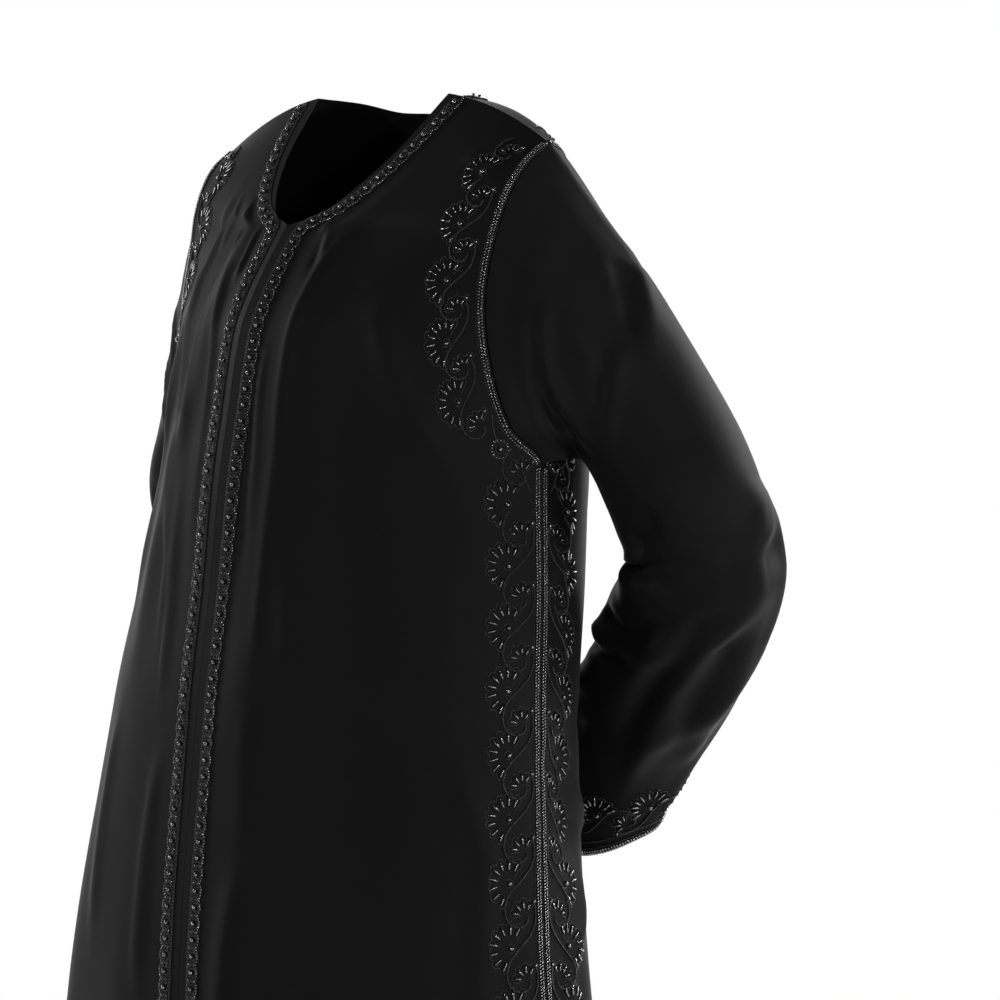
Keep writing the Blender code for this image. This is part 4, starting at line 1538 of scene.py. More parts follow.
@dataclass(frozen=True)
class FlowerVine:
    """A running vine of fan-shaped flowers, one to each repeat.

    Each repeat is laid out from its flower's centre: x goes to the guide's line and y along it.
    Angles open from x, away from y. The layout is in full size, which scale then reduces.
    """

    scale: float = 1.0
    repeat_length: float = 49.9 * MM
    flower_off: float = 30.5 * MM
    petals: int = 8
    petal_step: float = math.radians(26.0)
    first_petal: float = math.radians(64.0)
    bugle: tuple[float, float] = (10.8 * MM, 18.6 * MM)
    bugle_radius: float = 0.85 * MM
    outline_outer: float = 20.8 * MM
    outline_dip: float = 3.2 * MM
    outline_cord: float = 0.45 * MM
    stem_cord: float = 0.70 * MM
    stem_rise: float = 0.25 * MM
    eye: float = 2.0 * MM
    eye_ring: float = 3.5 * MM
    bud: tuple[float, float] = (21.5 * MM, 13.8 * MM)
    half_flower: tuple[float, float] = (13.0 * MM, 24.5 * MM)
    half_angles: tuple[float, ...] = (58.0, 96.0, 134.0, 172.0)
    half_outer: float = 13.4 * MM
    half_dip: float = 2.4 * MM
    half_bugle: tuple[float, float] = (5.4 * MM, 11.0 * MM)
    lone_bead: tuple[float, float] = (-7.5 * MM, 6.5 * MM)
    lone_rings: tuple[float, float] = (6.0 * MM, 8.2 * MM)
    lone_seeds: float = 7.1 * MM
    lone_seed: tuple[float, float, float] = (1.0 * MM, 0.8 * MM, 0.8 * MM)
    short_stem: float = 4.0 * MM

    @property
    def pitch(self) -> float:
        """The length of one repeat on the cloth."""
        return self.repeat_length * self.scale

    @property
    def stem(self) -> Array:
        """The stem, from the bud above, past the flower, and round the half flower.

        Returns:
            Its line, in the repeat's own x and y.
        """
        stops = (
            (21.0, -36.5), (23.0, -29.0), (22.3, -20.0), (18.5, -11.5), (12.0, -4.0),
            (4.5, 3.2), (-1.5, 10.0), (-4.4, 17.5), (-4.0, 25.5), (0.8, 31.8), (8.5, 33.8),
            (14.8, 30.8), (16.2, 25.2),
        )
        return curve_through(stops, 2.4) * MM

    def _ringed_bead(self, spot: Spot, centre: Sequence[float], size: float, ring: float) -> None:
        """Sews a round bead in a ring of cord.

        Args:
            spot: Where to.
            centre: Its place in the repeat.
            size: Its radius.
            ring: The ring's radius.
        """
        place = np.array([centre], float)
        near, aim = spot.near(place), spot.near(place + (ring, 0.0))
        spot.work.sew_beads(spot.work.supplies.round_bead, near, aim, (size, size, size * 0.9))
        self._ring(spot, centre, ring, 12)

    def _ring(self, spot: Spot, centre: Sequence[float], radius: float, count: int) -> None:
        """Sews a closed ring of cord."""
        line = spot.near(circle(centre, radius, count))
        spot.work.couch(line, self.outline_cord, sides=4, closed=True)

    def _rosette(self, spot: Spot) -> None:
        """Sews the lone ringed bead that stands for a flower where the vine turns a corner.

        Args:
            spot: Where to.
        """
        self._ringed_bead(spot, self.lone_bead, self.eye * 1.1, self.eye_ring * 1.1)
        for radius in self.lone_rings:
            self._ring(spot, self.lone_bead, radius, 20)
        near = spot.near(circle(self.lone_bead, self.lone_seeds, 16))
        aim = np.roll(near, -1, axis=0)
        spot.work.sew_beads(spot.work.supplies.seed, near, aim, self.lone_seed)

    def repeat(
        self, work: Needlework, guide: Guide, run: float, bloom: Bloom = Bloom.FLOWER,
        start: bool = False,
    ) -> None:
        """Sews one repeat.

        Args:
            work: Where to.
            guide: The line that the vine follows.
            run: Where its flower is on it.
            bloom: What it has for a flower.
            start: Whether the vine begins here, with a short stem.
        """
        spot = Spot(work, guide, run, self.flower_off, self.scale)
        if bloom is Bloom.FLOWER:
            angles = self.first_petal + np.arange(self.petals) * self.petal_step
            flower = Fan((0.0, 0.0), angles, self.bugle, self.outline_outer, self.outline_dip)
            flower.sew(spot, self.bugle_radius, self.outline_cord)
            self._ringed_bead(spot, flower.centre, self.eye, self.eye_ring)
        elif bloom is Bloom.ROSETTE:
            self._rosette(spot)
        angles = np.radians(self.half_angles)
        half = Fan(self.half_flower, angles, self.half_bugle, self.half_outer, self.half_dip)
        half.sew(spot, self.bugle_radius, self.outline_cord)
        self._ringed_bead(spot, self.bud, self.eye * 0.75, self.eye_ring * 0.8)
        stem = self.stem
        if start:
            stem = stem[stem[:, 1] > self.short_stem]
        work.couch(spot.near(stem), self.stem_cord, rise=self.stem_rise)

    def run_along(self, along: Stretch) -> None:
        """Sews repeats along a guide, the first flower at the stretch's start."""
        for run in np.arange(along.start, along.end, self.pitch):
            self.repeat(along.work, along.guide, float(run), start=run == along.start)


LONG_STEP = 4 * MM


@dataclass(frozen=True)
class EdgeBraid:
    """The band down the front edges: beads in loops of cord between a cord and scallops."""

    pitch: float = 13.0 * MM
    bead: float = 2.1 * MM
    ring: float = 3.7 * MM
    ring_squash: float = 0.92
    ring_points: int = 10
    loop: float = 4.9 * MM
    straight: float = 5.3 * MM
    fine_straight: float = 1.2 * MM
    scallop: float = 4.1 * MM
    scallop_rise: float = 2.3 * MM
    scallop_power: float = 0.9
    seed: float = 0.80 * MM
    seed_gap: float = 2.3 * MM
    crossing_seeds: tuple[float, float] = (-3.1 * MM, 3.0 * MM)
    fine_cord: float = 0.38 * MM
    cord: float = 0.45 * MM
    on_tape: float = 0.75 * MM
    step: float = 1.8 * MM
    tape_half_width: float = 6.4 * MM
    tape_edge: float = 0.15 * MM
    tape_relief: float = 0.4 * MM
    tape_wall: float = 0.5 * MM

    def stitch(self, along: Stretch) -> None:
        """Sews the band; the guide's inward side gets the scallops.

        Args:
            along: The stretch that it follows.
        """
        count = int(along.length / self.pitch)
        pitch = along.length / count
        line = along.stops(LONG_STEP)
        for gap, radius in ((0.0, self.cord), (self.fine_straight, self.fine_cord)):
            along.cord(line, -self.straight - gap, radius, rise=self.on_tape * 0.6)
        beaded = along.stops(self.seed_gap)
        rise = np.abs(np.sin(math.pi * (beaded - along.start) / pitch)) ** self.scallop_power
        self._seeds(along, beaded, self.scallop + self.scallop_rise * rise)
        run = along.stops(self.step)
        phase = math.pi * (run - along.start) / pitch
        for hand in (-1, 1):
            over = self.cord * (0.5 + 0.5 * hand * np.cos(phase)) + self.on_tape
            along.cord(run, hand * self.loop * np.sin(phase), self.cord, sides=4, rise=over)
        self._beads(along, along.start + (np.arange(count) + 0.5) * pitch)
        crossings = along.start + np.arange(1, count) * pitch
        for off in self.crossing_seeds:
            self._seeds(along, crossings, off)

    def _seeds(self, along: Stretch, run: Array, off: Array | float) -> None:
        """Sews seed beads on the tape."""
        size = (self.seed * 1.2, self.seed, self.seed * 0.9)
        along.row(along.work.supplies.seed, run, off, size, self.on_tape)

    def _beads(self, along: Stretch, middles: Array) -> None:
        """Sews the round beads, each in a ring of cord.

        Args:
            along: The stretch that they follow.
            middles: Where each is on its guide.
        """
        size = (self.bead, self.bead, self.bead)
        along.row(along.work.supplies.round_bead, middles, 0.0, size, self.on_tape * 0.4, 2 * MM)
        turn = np.arange(self.ring_points) * math.tau / self.ring_points
        ahead = self.ring * self.ring_squash * np.cos(turn)
        off = self.ring * np.sin(turn)
        for middle in middles:
            along.cord(middle + ahead, off, self.fine_cord, sides=4, closed=True, rise=self.on_tape)

    def tape(self, along: Stretch) -> bpy.types.Object:
        """The stitched tape under the band, which stands for the node that the work is named for.

        Args:
            along: The stretch that it follows.

        Returns:
            The tape.
        """
        shares = np.linspace(-1, 1, 7)
        relief = self.tape_edge + self.tape_relief * (1 - np.abs(shares) ** 4)
        run = along.stops(LONG_STEP)[:, None]
        near = along.guide.place(run, shares * self.tape_half_width)
        seats, normals = along.guide.ground.seat(near, relief)
        grid = ClothGrid(seats)
        grid.turned = float((grid.normals() * normals).sum()) < 0
        work = along.work
        made = cloth_shell(f"{work.name}_tape", grid, self.tape_wall)
        return attach(made, work.supplies.tape, [work.name])


@dataclass(frozen=True)
class SeamBraid:
    """Two rows of seed beads between fine cords, beside a seam."""

    centre: float = 3.6 * MM
    row_gap: float = 2.5 * MM
    bead: float = 1.22 * MM
    bead_pitch: float = 2.45 * MM
    cord: float = 0.38 * MM
    half_width: float = 3.0 * MM

    def stitch(self, along: Stretch) -> None:
        """Sews the braid.

        Args:
            along: The stretch that it follows.
        """
        count = int(along.length / self.bead_pitch)
        run = along.start + (np.arange(count) + 0.5) * along.length / count
        size = (self.bead * 0.92, self.bead, self.bead * 0.9)
        for row in (-0.5, 0.5):
            shift = run + row * self.bead_pitch * 0.5
            along.row(along.work.supplies.seed, shift, self.centre + row * self.row_gap, size)
        line = along.stops(LONG_STEP, 3)
        for hand in (-1, 1):
            along.cord(line, self.centre + hand * self.half_width, self.cord, sides=4)


@dataclass(frozen=True)
class CuffRim:
    """Rows of seed beads and cords round a cuff."""

    bead: float = 1.22 * MM
    bead_pitch: float = 2.45 * MM
    rows: tuple[float, ...] = (2.0 * MM, 4.3 * MM)
    cords: tuple[float, ...] = (0.5 * MM, 6.3 * MM, 12.6 * MM)
    cord_radii: tuple[float, ...] = (0.7 * MM, 0.6 * MM, 0.6 * MM)
    points: int = 80

    def stitch(self, along: Stretch) -> None:
        """Sews the rim.

        Args:
            along: All of the guide round the cuff.
        """
        count = int(along.length / self.bead_pitch)
        run = np.arange(count) * along.length / count
        size = (self.bead, self.bead * 1.1, self.bead)
        for off in self.rows:
            along.row(along.work.supplies.seed, run, off, size)
        line = np.linspace(0, along.length, self.points, endpoint=False)
        for off, radius in zip(self.cords, self.cord_radii):
            along.cord(line, off, radius, closed=True)


@dataclass(frozen=True)
class HemStitch:
    """A row of short machine stitches."""

    pitch: float = 4.5 * MM
    length: float = 3.0 * MM
    radius: float = 0.28 * MM

    def stitch(self, along: Stretch, off: float) -> None:
        """Sews the row, off from the guide."""
        stretch = np.array([0.0, 0.33, 0.67, 1.0]) * self.length
        for run in np.arange(along.start, along.end - self.length, self.pitch):
            along.cord(run + stretch, off, self.radius, sides=3)


CLOTH = 0.8 * MM
HEM_CLOTH = 1.4 * MM
HEM_DEPTH = 20 * MM
# A hem's fold thins out between these shares of its depth.
HEM_FADE = (0.9, 1.2)


@dataclass(frozen=True)
class Cut:
    """The flat piece that a part of the robe was cut from, and what holds it."""

    width: float
    length: float
    area: float
    held: str = "hung"
    rests_on: tuple[str, ...] = ("shoulders",)


@dataclass
class ClothPart:
    """A cut piece of the robe: its hanging form, and what is sewn to it.

    fold is 1 where the cloth is turned in double, and 0 where it is single.
    """

    name: str
    grid: ClothGrid
    fold: Array
    cut: Cut
    sewn: list[bpy.types.Object] = field(default_factory=list)
    piece: bpy.types.Object | None = None
    crisp_angle: float = math.radians(65)

    def build(self, supplies: Haberdashery) -> "ClothPart":
        """Makes the cloth and dresses it in crepe.

        Args:
            supplies: The materials.

        Returns:
            The part itself.
        """
        thickness = CLOTH + (HEM_CLOTH - CLOTH) * self.fold
        shell = cloth_shell(f"{self.name}_cloth", self.grid, thickness)
        shell.data.set_sharp_from_angle(angle=self.crisp_angle)
        self.piece = attach(shell, supplies.crepe, [self.name])
        return self

    def declare(self) -> None:
        """Lists what the cut rests on and what is sewn to it, and keeps neither."""
        cut = self.cut
        list(cut.rests_on)
        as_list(self.sewn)

    def edge(self, column: int, rows: slice, ground: Ground) -> Guide:
        """A guide down the cloth's first or last column.

        Args:
            column: 0 or -1.
            rows: The rows that it takes.
            ground: The cloth that its needlework may lie on.

        Returns:
            The guide.
        """
        inner = column + (3 if column == 0 else -3)
        line = self.grid.points[rows, column]
        inward = self.grid.points[rows, inner] - line
        return Guide(ground, line[::-1], inward[::-1])

    def ring(self, row: int, ground: Ground) -> Guide:
        """A guide round a ring of a sleeve, its inner side towards the armhole."""
        line = self.grid.points[row, ::-1]
        inward = self.grid.points[row - 4, ::-1] - line
        return Guide(ground, line, inward, closed=True)


@dataclass(frozen=True)
class PanelRows:
    """How finely the robe's panels are divided, from hem to shoulder seam."""

    skirt: int = 176
    neck_row: tuple[float, ...] = (FRONT_NECK, BACK_NECK)
    yoke: tuple[int, ...] = (44, 6, 18)
    top: float = 0.9988
    # Rows each side of the underarm that are eased, the share eased fully, and how often.
    smoothed: int = 9
    fully: float = 0.4
    passes: int = 24

    def levels(self) -> Array:
        """The rows' levels.

        Returns:
            Each level, from hem to shoulder.
        """
        stops = (0.0, *self.neck_row, self.top)
        parts = [np.linspace(-1, 0, self.skirt + 1)]
        for low, high, count in zip(stops, stops[1:], self.yoke):
            parts.append(np.linspace(low, high, count + 1)[1:])
        return np.concatenate(parts)

    def ease(self, points: Array, armholes: Array) -> Array:
        """Evens out the rows where skirt meets yoke.

        Args:
            points: Rows of columns.
            armholes: 1 for a column that may move and 0 for one at an armhole.

        Returns:
            The points, with the rows round the underarm eased.
        """
        row = np.arange(len(points)) - self.skirt
        near = 1 - smooth(np.abs(row), self.smoothed * self.fully, self.smoothed)
        share = (near[:, None] * armholes[None, :])[..., None]
        eased = points.copy()
        for _ in range(self.passes):
            middle = (eased[:-2] + 2 * eased[1:-1] + eased[2:]) / 4
            eased[1:-1] += (middle - eased[1:-1]) * share[1:-1]
        return eased


# In q: how far each panel stops short of its side seam, and where the front edge begins.
SEAM_Q = 0.0006
EDGE_Q = 1e-9
FINE_COLUMNS = 161


def columns_by_length(
    robe: Robe, levels: Array, start_q: float, end_q: float
) -> tuple[Array, Array]:
    """q along each row with the length of cloth to it.

    Args:
        robe: The robe.
        levels: The rows.
        start_q: Where the rows start.
        end_q: Where they end.

    Returns:
        The values of q, and for each row the lengths from start_q.
    """
    q = start_q + (end_q - start_q) * np.linspace(0, 1, FINE_COLUMNS)
    rows = robe.cloth(q[None, :], levels[:, None])
    steps = np.linalg.norm(np.diff(rows, axis=1), axis=2)
    return q, np.concatenate([np.zeros((len(rows), 1)), np.cumsum(steps, axis=1)], axis=1)


def spaced_cloth(robe: Robe, levels: Array, start_q: float, end_q: float, share: Array) -> Array:
    """Outer points of a panel, its columns spaced by the length of cloth.

    Args:
        robe: The robe.
        levels: The rows.
        start_q: Where the rows start.
        end_q: Where they end.
        share: Each column's share of the way along every row.

    Returns:
        Rows of points.
    """
    q, run = columns_by_length(robe, levels, start_q, end_q)
    placed = np.array([np.interp(share * each[-1], each, q) for each in run])
    return robe.cloth(placed, levels[:, None])


def eased_line(line: Array, passes: int = 6) -> Array:
    """Rounds the corners of a line a little.

    Args:
        line: Its points.
        passes: How often it is eased.

    Returns:
        The eased points.
    """
    eased = line.copy()
    for _ in range(passes):
        eased[1:-1] = (eased[:-2] + 2 * eased[1:-1] + eased[2:]) / 4
    return eased


def edge_cloth(points: Array) -> Array:
    """Finds where the first rows of cloth are turned up as a hem.

    Args:
        points: Rows of points.

    Returns:
        1 where they are, and 0 past it.
    """
    height = np.linalg.norm(np.diff(points, axis=0), axis=2).mean(axis=1)
    height = np.concatenate([[0], np.cumsum(height)])
    turned = 1 - smooth(height, HEM_DEPTH * HEM_FADE[0], HEM_DEPTH * HEM_FADE[1])
    return np.repeat(turned[:, None], points.shape[1], axis=1)


@dataclass
class FrontPanel:
    """One front of the robe, from its front edge and neckline to armhole and side seam."""

    side: Side
    robe: Robe
    rows: PanelRows = PanelRows()
    columns: int = 80
    # Columns beside the front edge lie this much closer together than they would if even.
    closer: float = 0.5
    cut: Cut = Cut(0.47, 1.42, 0.46)
    band_centre: float = 16.5 * MM
    centre_gap: float = 0.2 * MM
    inward_step: float = 6 * MM
    # Between these shares of the way to the side, the facing ends and the rows begin to be held.
    facing: tuple[float, float] = (0.07, 0.09)
    held: tuple[float, float] = (0.85, 0.97)

    def build(self, supplies: Haberdashery) -> ClothPart:
        """Makes the panel.

        Args:
            supplies: The materials.

        Returns:
            The panel, ready for its needlework.
        """
        sign = self.side.value
        levels = self.rows.levels()
        even = np.linspace(0, 1, self.columns)
        share = even * (self.closer + (1 - self.closer) * even)
        points = spaced_cloth(self.robe, levels, sign * EDGE_Q, sign * (1 - SEAM_Q), share)
        points = self.rows.ease(points, 1 - smooth(share, *self.held))
        points[..., 0] = sign * np.maximum(sign * points[..., 0], self.centre_gap)
        fold = np.maximum(edge_cloth(points), (1 - smooth(share, *self.facing))[None, :])
        grid = ClothGrid(points, turned=sign < 0)
        return ClothPart(f"{self.side.label}_front", grid, fold, self.cut).build(supplies)

    def band_guide(self, part: ClothPart) -> Guide:
        """The centre line of the band down the front edge, from hem to shoulder.

        Args:
            part: The panel's cloth.

        Returns:
            The guide.
        """
        sign = self.side.value
        levels = self.rows.levels()
        q, run = columns_by_length(self.robe, levels, sign * EDGE_Q, sign * 0.5)
        line, inner = [], []
        for level, each in zip(levels, run):
            here = np.interp([self.band_centre, self.band_centre + self.inward_step], each, q)
            pair = self.robe.cloth(here, np.full(2, level))
            line.append(pair[0])
            inner.append(pair[1] - pair[0])
        return Guide(Ground(part.grid), eased_line(np.array(line)), np.array(inner))


@dataclass
class BackPanel:
    """The back of the robe in one piece, from one side seam round to the other."""

    robe: Robe
    rows: PanelRows = PanelRows()
    half_columns: int = 54
    cut: Cut = Cut(0.94, 1.43, 0.95)
    band_centre: float = 18.5 * MM
    # Between these shares of the way to the centre, the rows stop being held.
    held: tuple[float, float] = (0.03, 0.15)
    # At the centre of the neckline its inner side is this way, blended over these points.
    centre_way: tuple[float, float, float] = (0.0, 0.2, -1.0)
    blend_points: float = 4.0

    def build(self, supplies: Haberdashery) -> ClothPart:
        """Makes the back.

        Args:
            supplies: The materials.

        Returns:
            The back, ready for its needlework.
        """
        levels = self.rows.levels()
        share = np.linspace(0, 1, self.half_columns)
        halves = []
        for side in Side:
            sign = side.value
            half = spaced_cloth(self.robe, levels, sign * (1 + SEAM_Q), sign * 2.0, share)
            halves.append(self.rows.ease(half, smooth(share, *self.held)))
        joined = int((levels <= BACK_NECK + 1e-9).sum())
        halves[0][:joined, -1, 0] = 0.0
        halves[1][:joined, -1] = halves[0][:joined, -1]
        points = np.concatenate([halves[0], halves[1][:, ::-1]], axis=1)
        grid = ClothGrid(points, split_at=self.half_columns - 1, joined_rows=joined)
        return ClothPart("back", grid, edge_cloth(points), self.cut).build(supplies)

    def neck_guide(self, part: ClothPart) -> Guide:
        """The back neckline, from the left shoulder round to the right.

        Args:
            part: The back's cloth.

        Returns:
            The guide.
        """
        low = part.grid.joined_rows - 1
        left = self.half_columns - 1
        points = part.grid.points
        line = np.concatenate([points[low:, left][::-1], points[low + 1 :, left + 1]])
        inner = np.concatenate([points[low:, left - 6][::-1], points[low + 1 :, left + 7]])
        middle = len(points) - low - 1
        blend = np.exp(-((np.arange(len(line)) - middle) / self.blend_points) ** 2)[:, None]
        inward = unit(inner - line) * (1 - blend) + np.array(self.centre_way) * blend
        return Guide(Ground(part.grid), line, inward)


@dataclass(frozen=True)
class SleeveForm:
    """The left sleeve's form: a cap that leaves the armhole and turns into a bent tube."""

    cap_rows: int = 44
    arm_rows: int = 118
    around: int = 112
    leave: float = 0.090
    join: float = 0.120
    top_way: tuple[float, float, float] = (0.520, 0.325, -0.700)
    under_way: tuple[float, float, float] = (0.800, 0.500, 0.120)
    outer_start: tuple[float, float, float] = (0.628, 0.600, 0.496)
    seam_gap: float = 1.1 * MM
    wall: float = 1.5 * MM
    # Metres round it and along it, for the sizes of its creases, and where these come in.
    girth: float = 0.38
    length: float = 0.55
    smooth_cap: tuple[float, float] = (0.02, 0.12)

    def _arm(self, turns: Array) -> tuple[Array, Array]:
        """Shapes the tube.

        Args:
            turns: How far round each ring's points are.

        Returns:
            Its rings, and the directions along it.
        """
        row = SLEEVE.read(np.linspace(0, 1, self.arm_rows))
        centres = np.stack([row["x"], row["y"], row["z"]], axis=-1)
        along = unit(np.gradient(centres, axis=0))
        outer = np.array(self.outer_start)
        found = []
        for way in along:
            outer = outer - way * np.dot(outer, way)
            outer = outer / np.linalg.norm(outer)
            found.append(outer)
        outer = np.array(found)
        front = unit(np.cross(along, outer))
        cosine, sine = np.cos(turns * math.tau), np.sin(turns * math.tau)
        rings = (
            centres[:, None]
            + outer[:, None] * (row["radius_out"][:, None] * cosine[None])[..., None]
            + front[:, None] * (row["radius_side"][:, None] * sine[None])[..., None]
            - along[:, None] * (row["slant"][:, None] * cosine[None])[..., None]
        )
        return rings, along

    def _cap(self, start: Array, rings: Array, along: Array, turns: Array) -> Array:
        """Shapes the cap, from the armhole to the tube.

        Args:
            start: The armhole's points.
            rings: Rings of the tube.
            along: Directions along it.
            turns: How far round each ring's points are.

        Returns:
            Its rings.
        """
        top = 0.5 + 0.5 * np.cos(turns * math.tau)[:, None]
        leave = unit(np.array(self.top_way) * top + np.array(self.under_way) * (1 - top))
        start = start + leave * self.seam_gap
        u = np.linspace(0, 1, self.cap_rows, endpoint=False)[:, None, None]
        rise = u * u * (3 - 2 * u)
        bend = leave * self.leave * u * (1 - u) ** 2 - along[0] * self.join * u * u * (1 - u)
        return start * (1 - rise) + rings[0] * rise + bend

    def surface(self, robe: Robe) -> Array:
        """Outer points of the left sleeve, from the armhole to the cuff.

        Args:
            robe: The robe that it is set into.

        Returns:
            Rings of points.
        """
        turns = np.arange(self.around) / self.around
        rings, along = self._arm(turns)
        cap = self._cap(robe.armhole(Side.LEFT, turns), rings, along, turns)
        surface = np.concatenate([cap, rings])
        run = run_of(surface.mean(axis=1))
        run = (run / run[-1])[:, None]
        turn = np.broadcast_to(turns[None], surface.shape[:2])
        run_grid = np.broadcast_to(run, turn.shape)
        lift = np.zeros(turn.shape)
        for fold in SLEEVE_FOLDS:
            lift += fold.height(run, turn)
        for crease in SLEEVE_CREASES:
            lift += crease.height(turn, run_grid, (self.girth, self.length), 1.0)
        lift = lift * smooth(run, *self.smooth_cap)
        lift = lift + self.wall * smooth(run, 0, self.smooth_cap[1])
        return surface + tube_normals(surface) * lift[..., None]


def tube_normals(rings: Array) -> Array:
    """Outward normals of rings whose points run from the outer side to the front."""
    around = np.roll(rings, -1, axis=1) - np.roll(rings, 1, axis=1)
    return unit(np.cross(around, np.gradient(rings, axis=0)))


@dataclass
class Sleeve:
    """One sleeve, bent behind the hip."""

    side: Side
    robe: Robe
    form: SleeveForm = SleeveForm()
    cut: Cut = Cut(0.61, 0.67, 0.22)

    def build(self, supplies: Haberdashery) -> ClothPart:
        """Makes the sleeve.

        Args:
            supplies: The materials.

        Returns:
            The sleeve, ready for its needlework.
        """
        rings = self.form.surface(self.robe)
        if self.side is Side.RIGHT:
            turns = np.arange(self.form.around) / self.form.around
            flip = np.array([-1.0, 1.0, 1.0])
            left, right = (self.robe.armhole(side, turns) for side in Side)
            shift = right - left * flip
            fade = 1 - smooth(np.arange(len(rings)), 0, self.form.cap_rows)
            rings = rings * flip + shift[None] * fade[:, None, None]
        grid = ClothGrid(rings, ring=True, turned=self.side is Side.RIGHT)
        fold = edge_cloth(rings[::-1])[::-1]
        return ClothPart(f"{self.side.label}_sleeve", grid, fold, self.cut).build(supplies)


@dataclass
class Embroidery:
    """Where each band, braid and vine of the robe goes.

    Each pair of gaps says how far from the two ends of its guide the work stops.
    """

    supplies: Haberdashery
    fronts: dict[Side, FrontPanel]
    parts: dict[str, ClothPart]
    vine: FlowerVine = FlowerVine()
    armhole_vine: FlowerVine = FlowerVine(
        scale=0.82, repeat_length=52.7 * MM, flower_off=31.8 * MM, petals=9,
        petal_step=math.radians(23.5), bugle=(12.0 * MM, 20.4 * MM), outline_outer=22.8 * MM,
    )
    cuff_vine: FlowerVine = FlowerVine(
        scale=0.92, flower_off=0.0, petals=9, petal_step=math.radians(23.5)
    )
    band: EdgeBraid = EdgeBraid()
    braid: SeamBraid = SeamBraid()
    rim: CuffRim = CuffRim()
    hem: HemStitch = HemStitch()
    underarm_row: int = PanelRows().skirt
    neck_points: int = 64
    neck_step: float = 8 * MM
    band_gaps: tuple[float, float] = (3 * MM, 2 * MM)
    neck_gaps: tuple[float, float] = (1 * MM, 1 * MM)
    seam_gaps: tuple[float, float] = (4 * MM, 2 * MM)
    armhole_gaps: tuple[float, float] = (2 * MM, 1 * MM)
    hem_gaps: tuple[float, float] = (6 * MM, 4 * MM)
    first_side_flower: float = 0.036
    above_hem: float = 36 * MM
    first_armhole_flower: float = 0.0057
    last_armhole_flower: float = 0.226
    # The joining stem's stops on the armhole and on the side seam: how far along, and how far in.
    join_above: tuple[tuple[float, float], ...] = ((0.060, 0.009), (0.042, 0.014), (0.022, 0.0185))
    join_below: tuple[tuple[float, float], ...] = ((0.003, 0.019), (0.014, 0.0155), (0.024, 0.010))
    cuff_flowers: int = 7
    cuff_flower_row: int = -10
    first_cuff_flower: float = -0.018

    def front(self, side: Side) -> None:
        """Sews the band, braids and vines of one front.

        Args:
            side: Which front.
        """
        part = self.parts[f"{side.label}_front"]
        guide = self.fronts[side].band_guide(part)
        part.sewn += self._band(f"{part.name}_trim", guide, self.band_gaps)
        ground = Ground(part.grid, self.parts["back"].grid)
        self._sides(part.name, part, ground, -1)

    def back(self, side: Side) -> None:
        """Sews the braids and vines of one side of the back.

        Args:
            side: Which side.
        """
        part = self.parts["back"]
        ground = Ground(part.grid, self.parts[f"{side.label}_front"].grid)
        self._sides(f"back_{side.label}", part, ground, 0 if side is Side.LEFT else -1)

    def back_neck(self, panel: BackPanel) -> None:
        """Sews the band round the back neckline.

        Args:
            panel: The back.
        """
        part = self.parts["back"]
        edge = panel.neck_guide(part)
        run = np.linspace(self.neck_gaps[0], edge.length - self.neck_gaps[1], self.neck_points)
        near = edge.place(run, panel.band_centre)
        inner = edge.place(run, panel.band_centre + self.neck_step)
        guide = Guide(edge.ground, eased_line(near), inner - near)
        part.sewn += self._band("back_neck_trim", guide, self.neck_gaps)

    def sleeve(self, side: Side) -> None:
        """Sews a sleeve's cuff rim and cuff vine.

        Args:
            side: Which sleeve.
        """
        part = self.parts[f"{side.label}_sleeve"]
        ground = Ground(part.grid)
        rim = Needlework(f"{side.label}_cuff_trim", self.supplies, ground)
        self.rim.stitch(Stretch.within(rim, part.ring(-1, ground), (0.0, 0.0)))
        vine = Needlework(f"{side.label}_cuff_vine", self.supplies, ground)
        flowers = part.ring(self.cuff_flower_row, ground)
        step = flowers.length / self.cuff_flowers
        for k in range(self.cuff_flowers):
            self.cuff_vine.repeat(vine, flowers, k * step + self.first_cuff_flower)
        part.sewn += rim.finish([rim.name])
        part.sewn += vine.finish()

    def hems(self) -> None:
        """Sews the hem's row of stitches on each panel."""
        for name in ("left_front", "right_front", "back"):
            part = self.parts[name]
            edge = part.grid.points[0]
            inward = part.grid.points[5] - edge
            work = Needlework(f"{name}_hem_stitches", self.supplies, Ground(part.grid))
            guide = Guide(work.ground, edge, inward)
            self.hem.stitch(Stretch.within(work, guide, self.hem_gaps), HEM_DEPTH)
            part.sewn += work.finish()

    def _band(self, name: str, guide: Guide, gaps: Sequence[float]) -> list[bpy.types.Object]:
        """Sews a band on its tape.

        Args:
            name: What the pieces are called, and the CAD node that they stand for.
            guide: The band's centre line.
            gaps: How far it stops from the guide's ends.

        Returns:
            The pieces.
        """
        trim = Needlework(name, self.supplies, guide.ground)
        along = Stretch.within(trim, guide, gaps)
        self.band.stitch(along)
        return [self.band.tape(along), *trim.finish()]

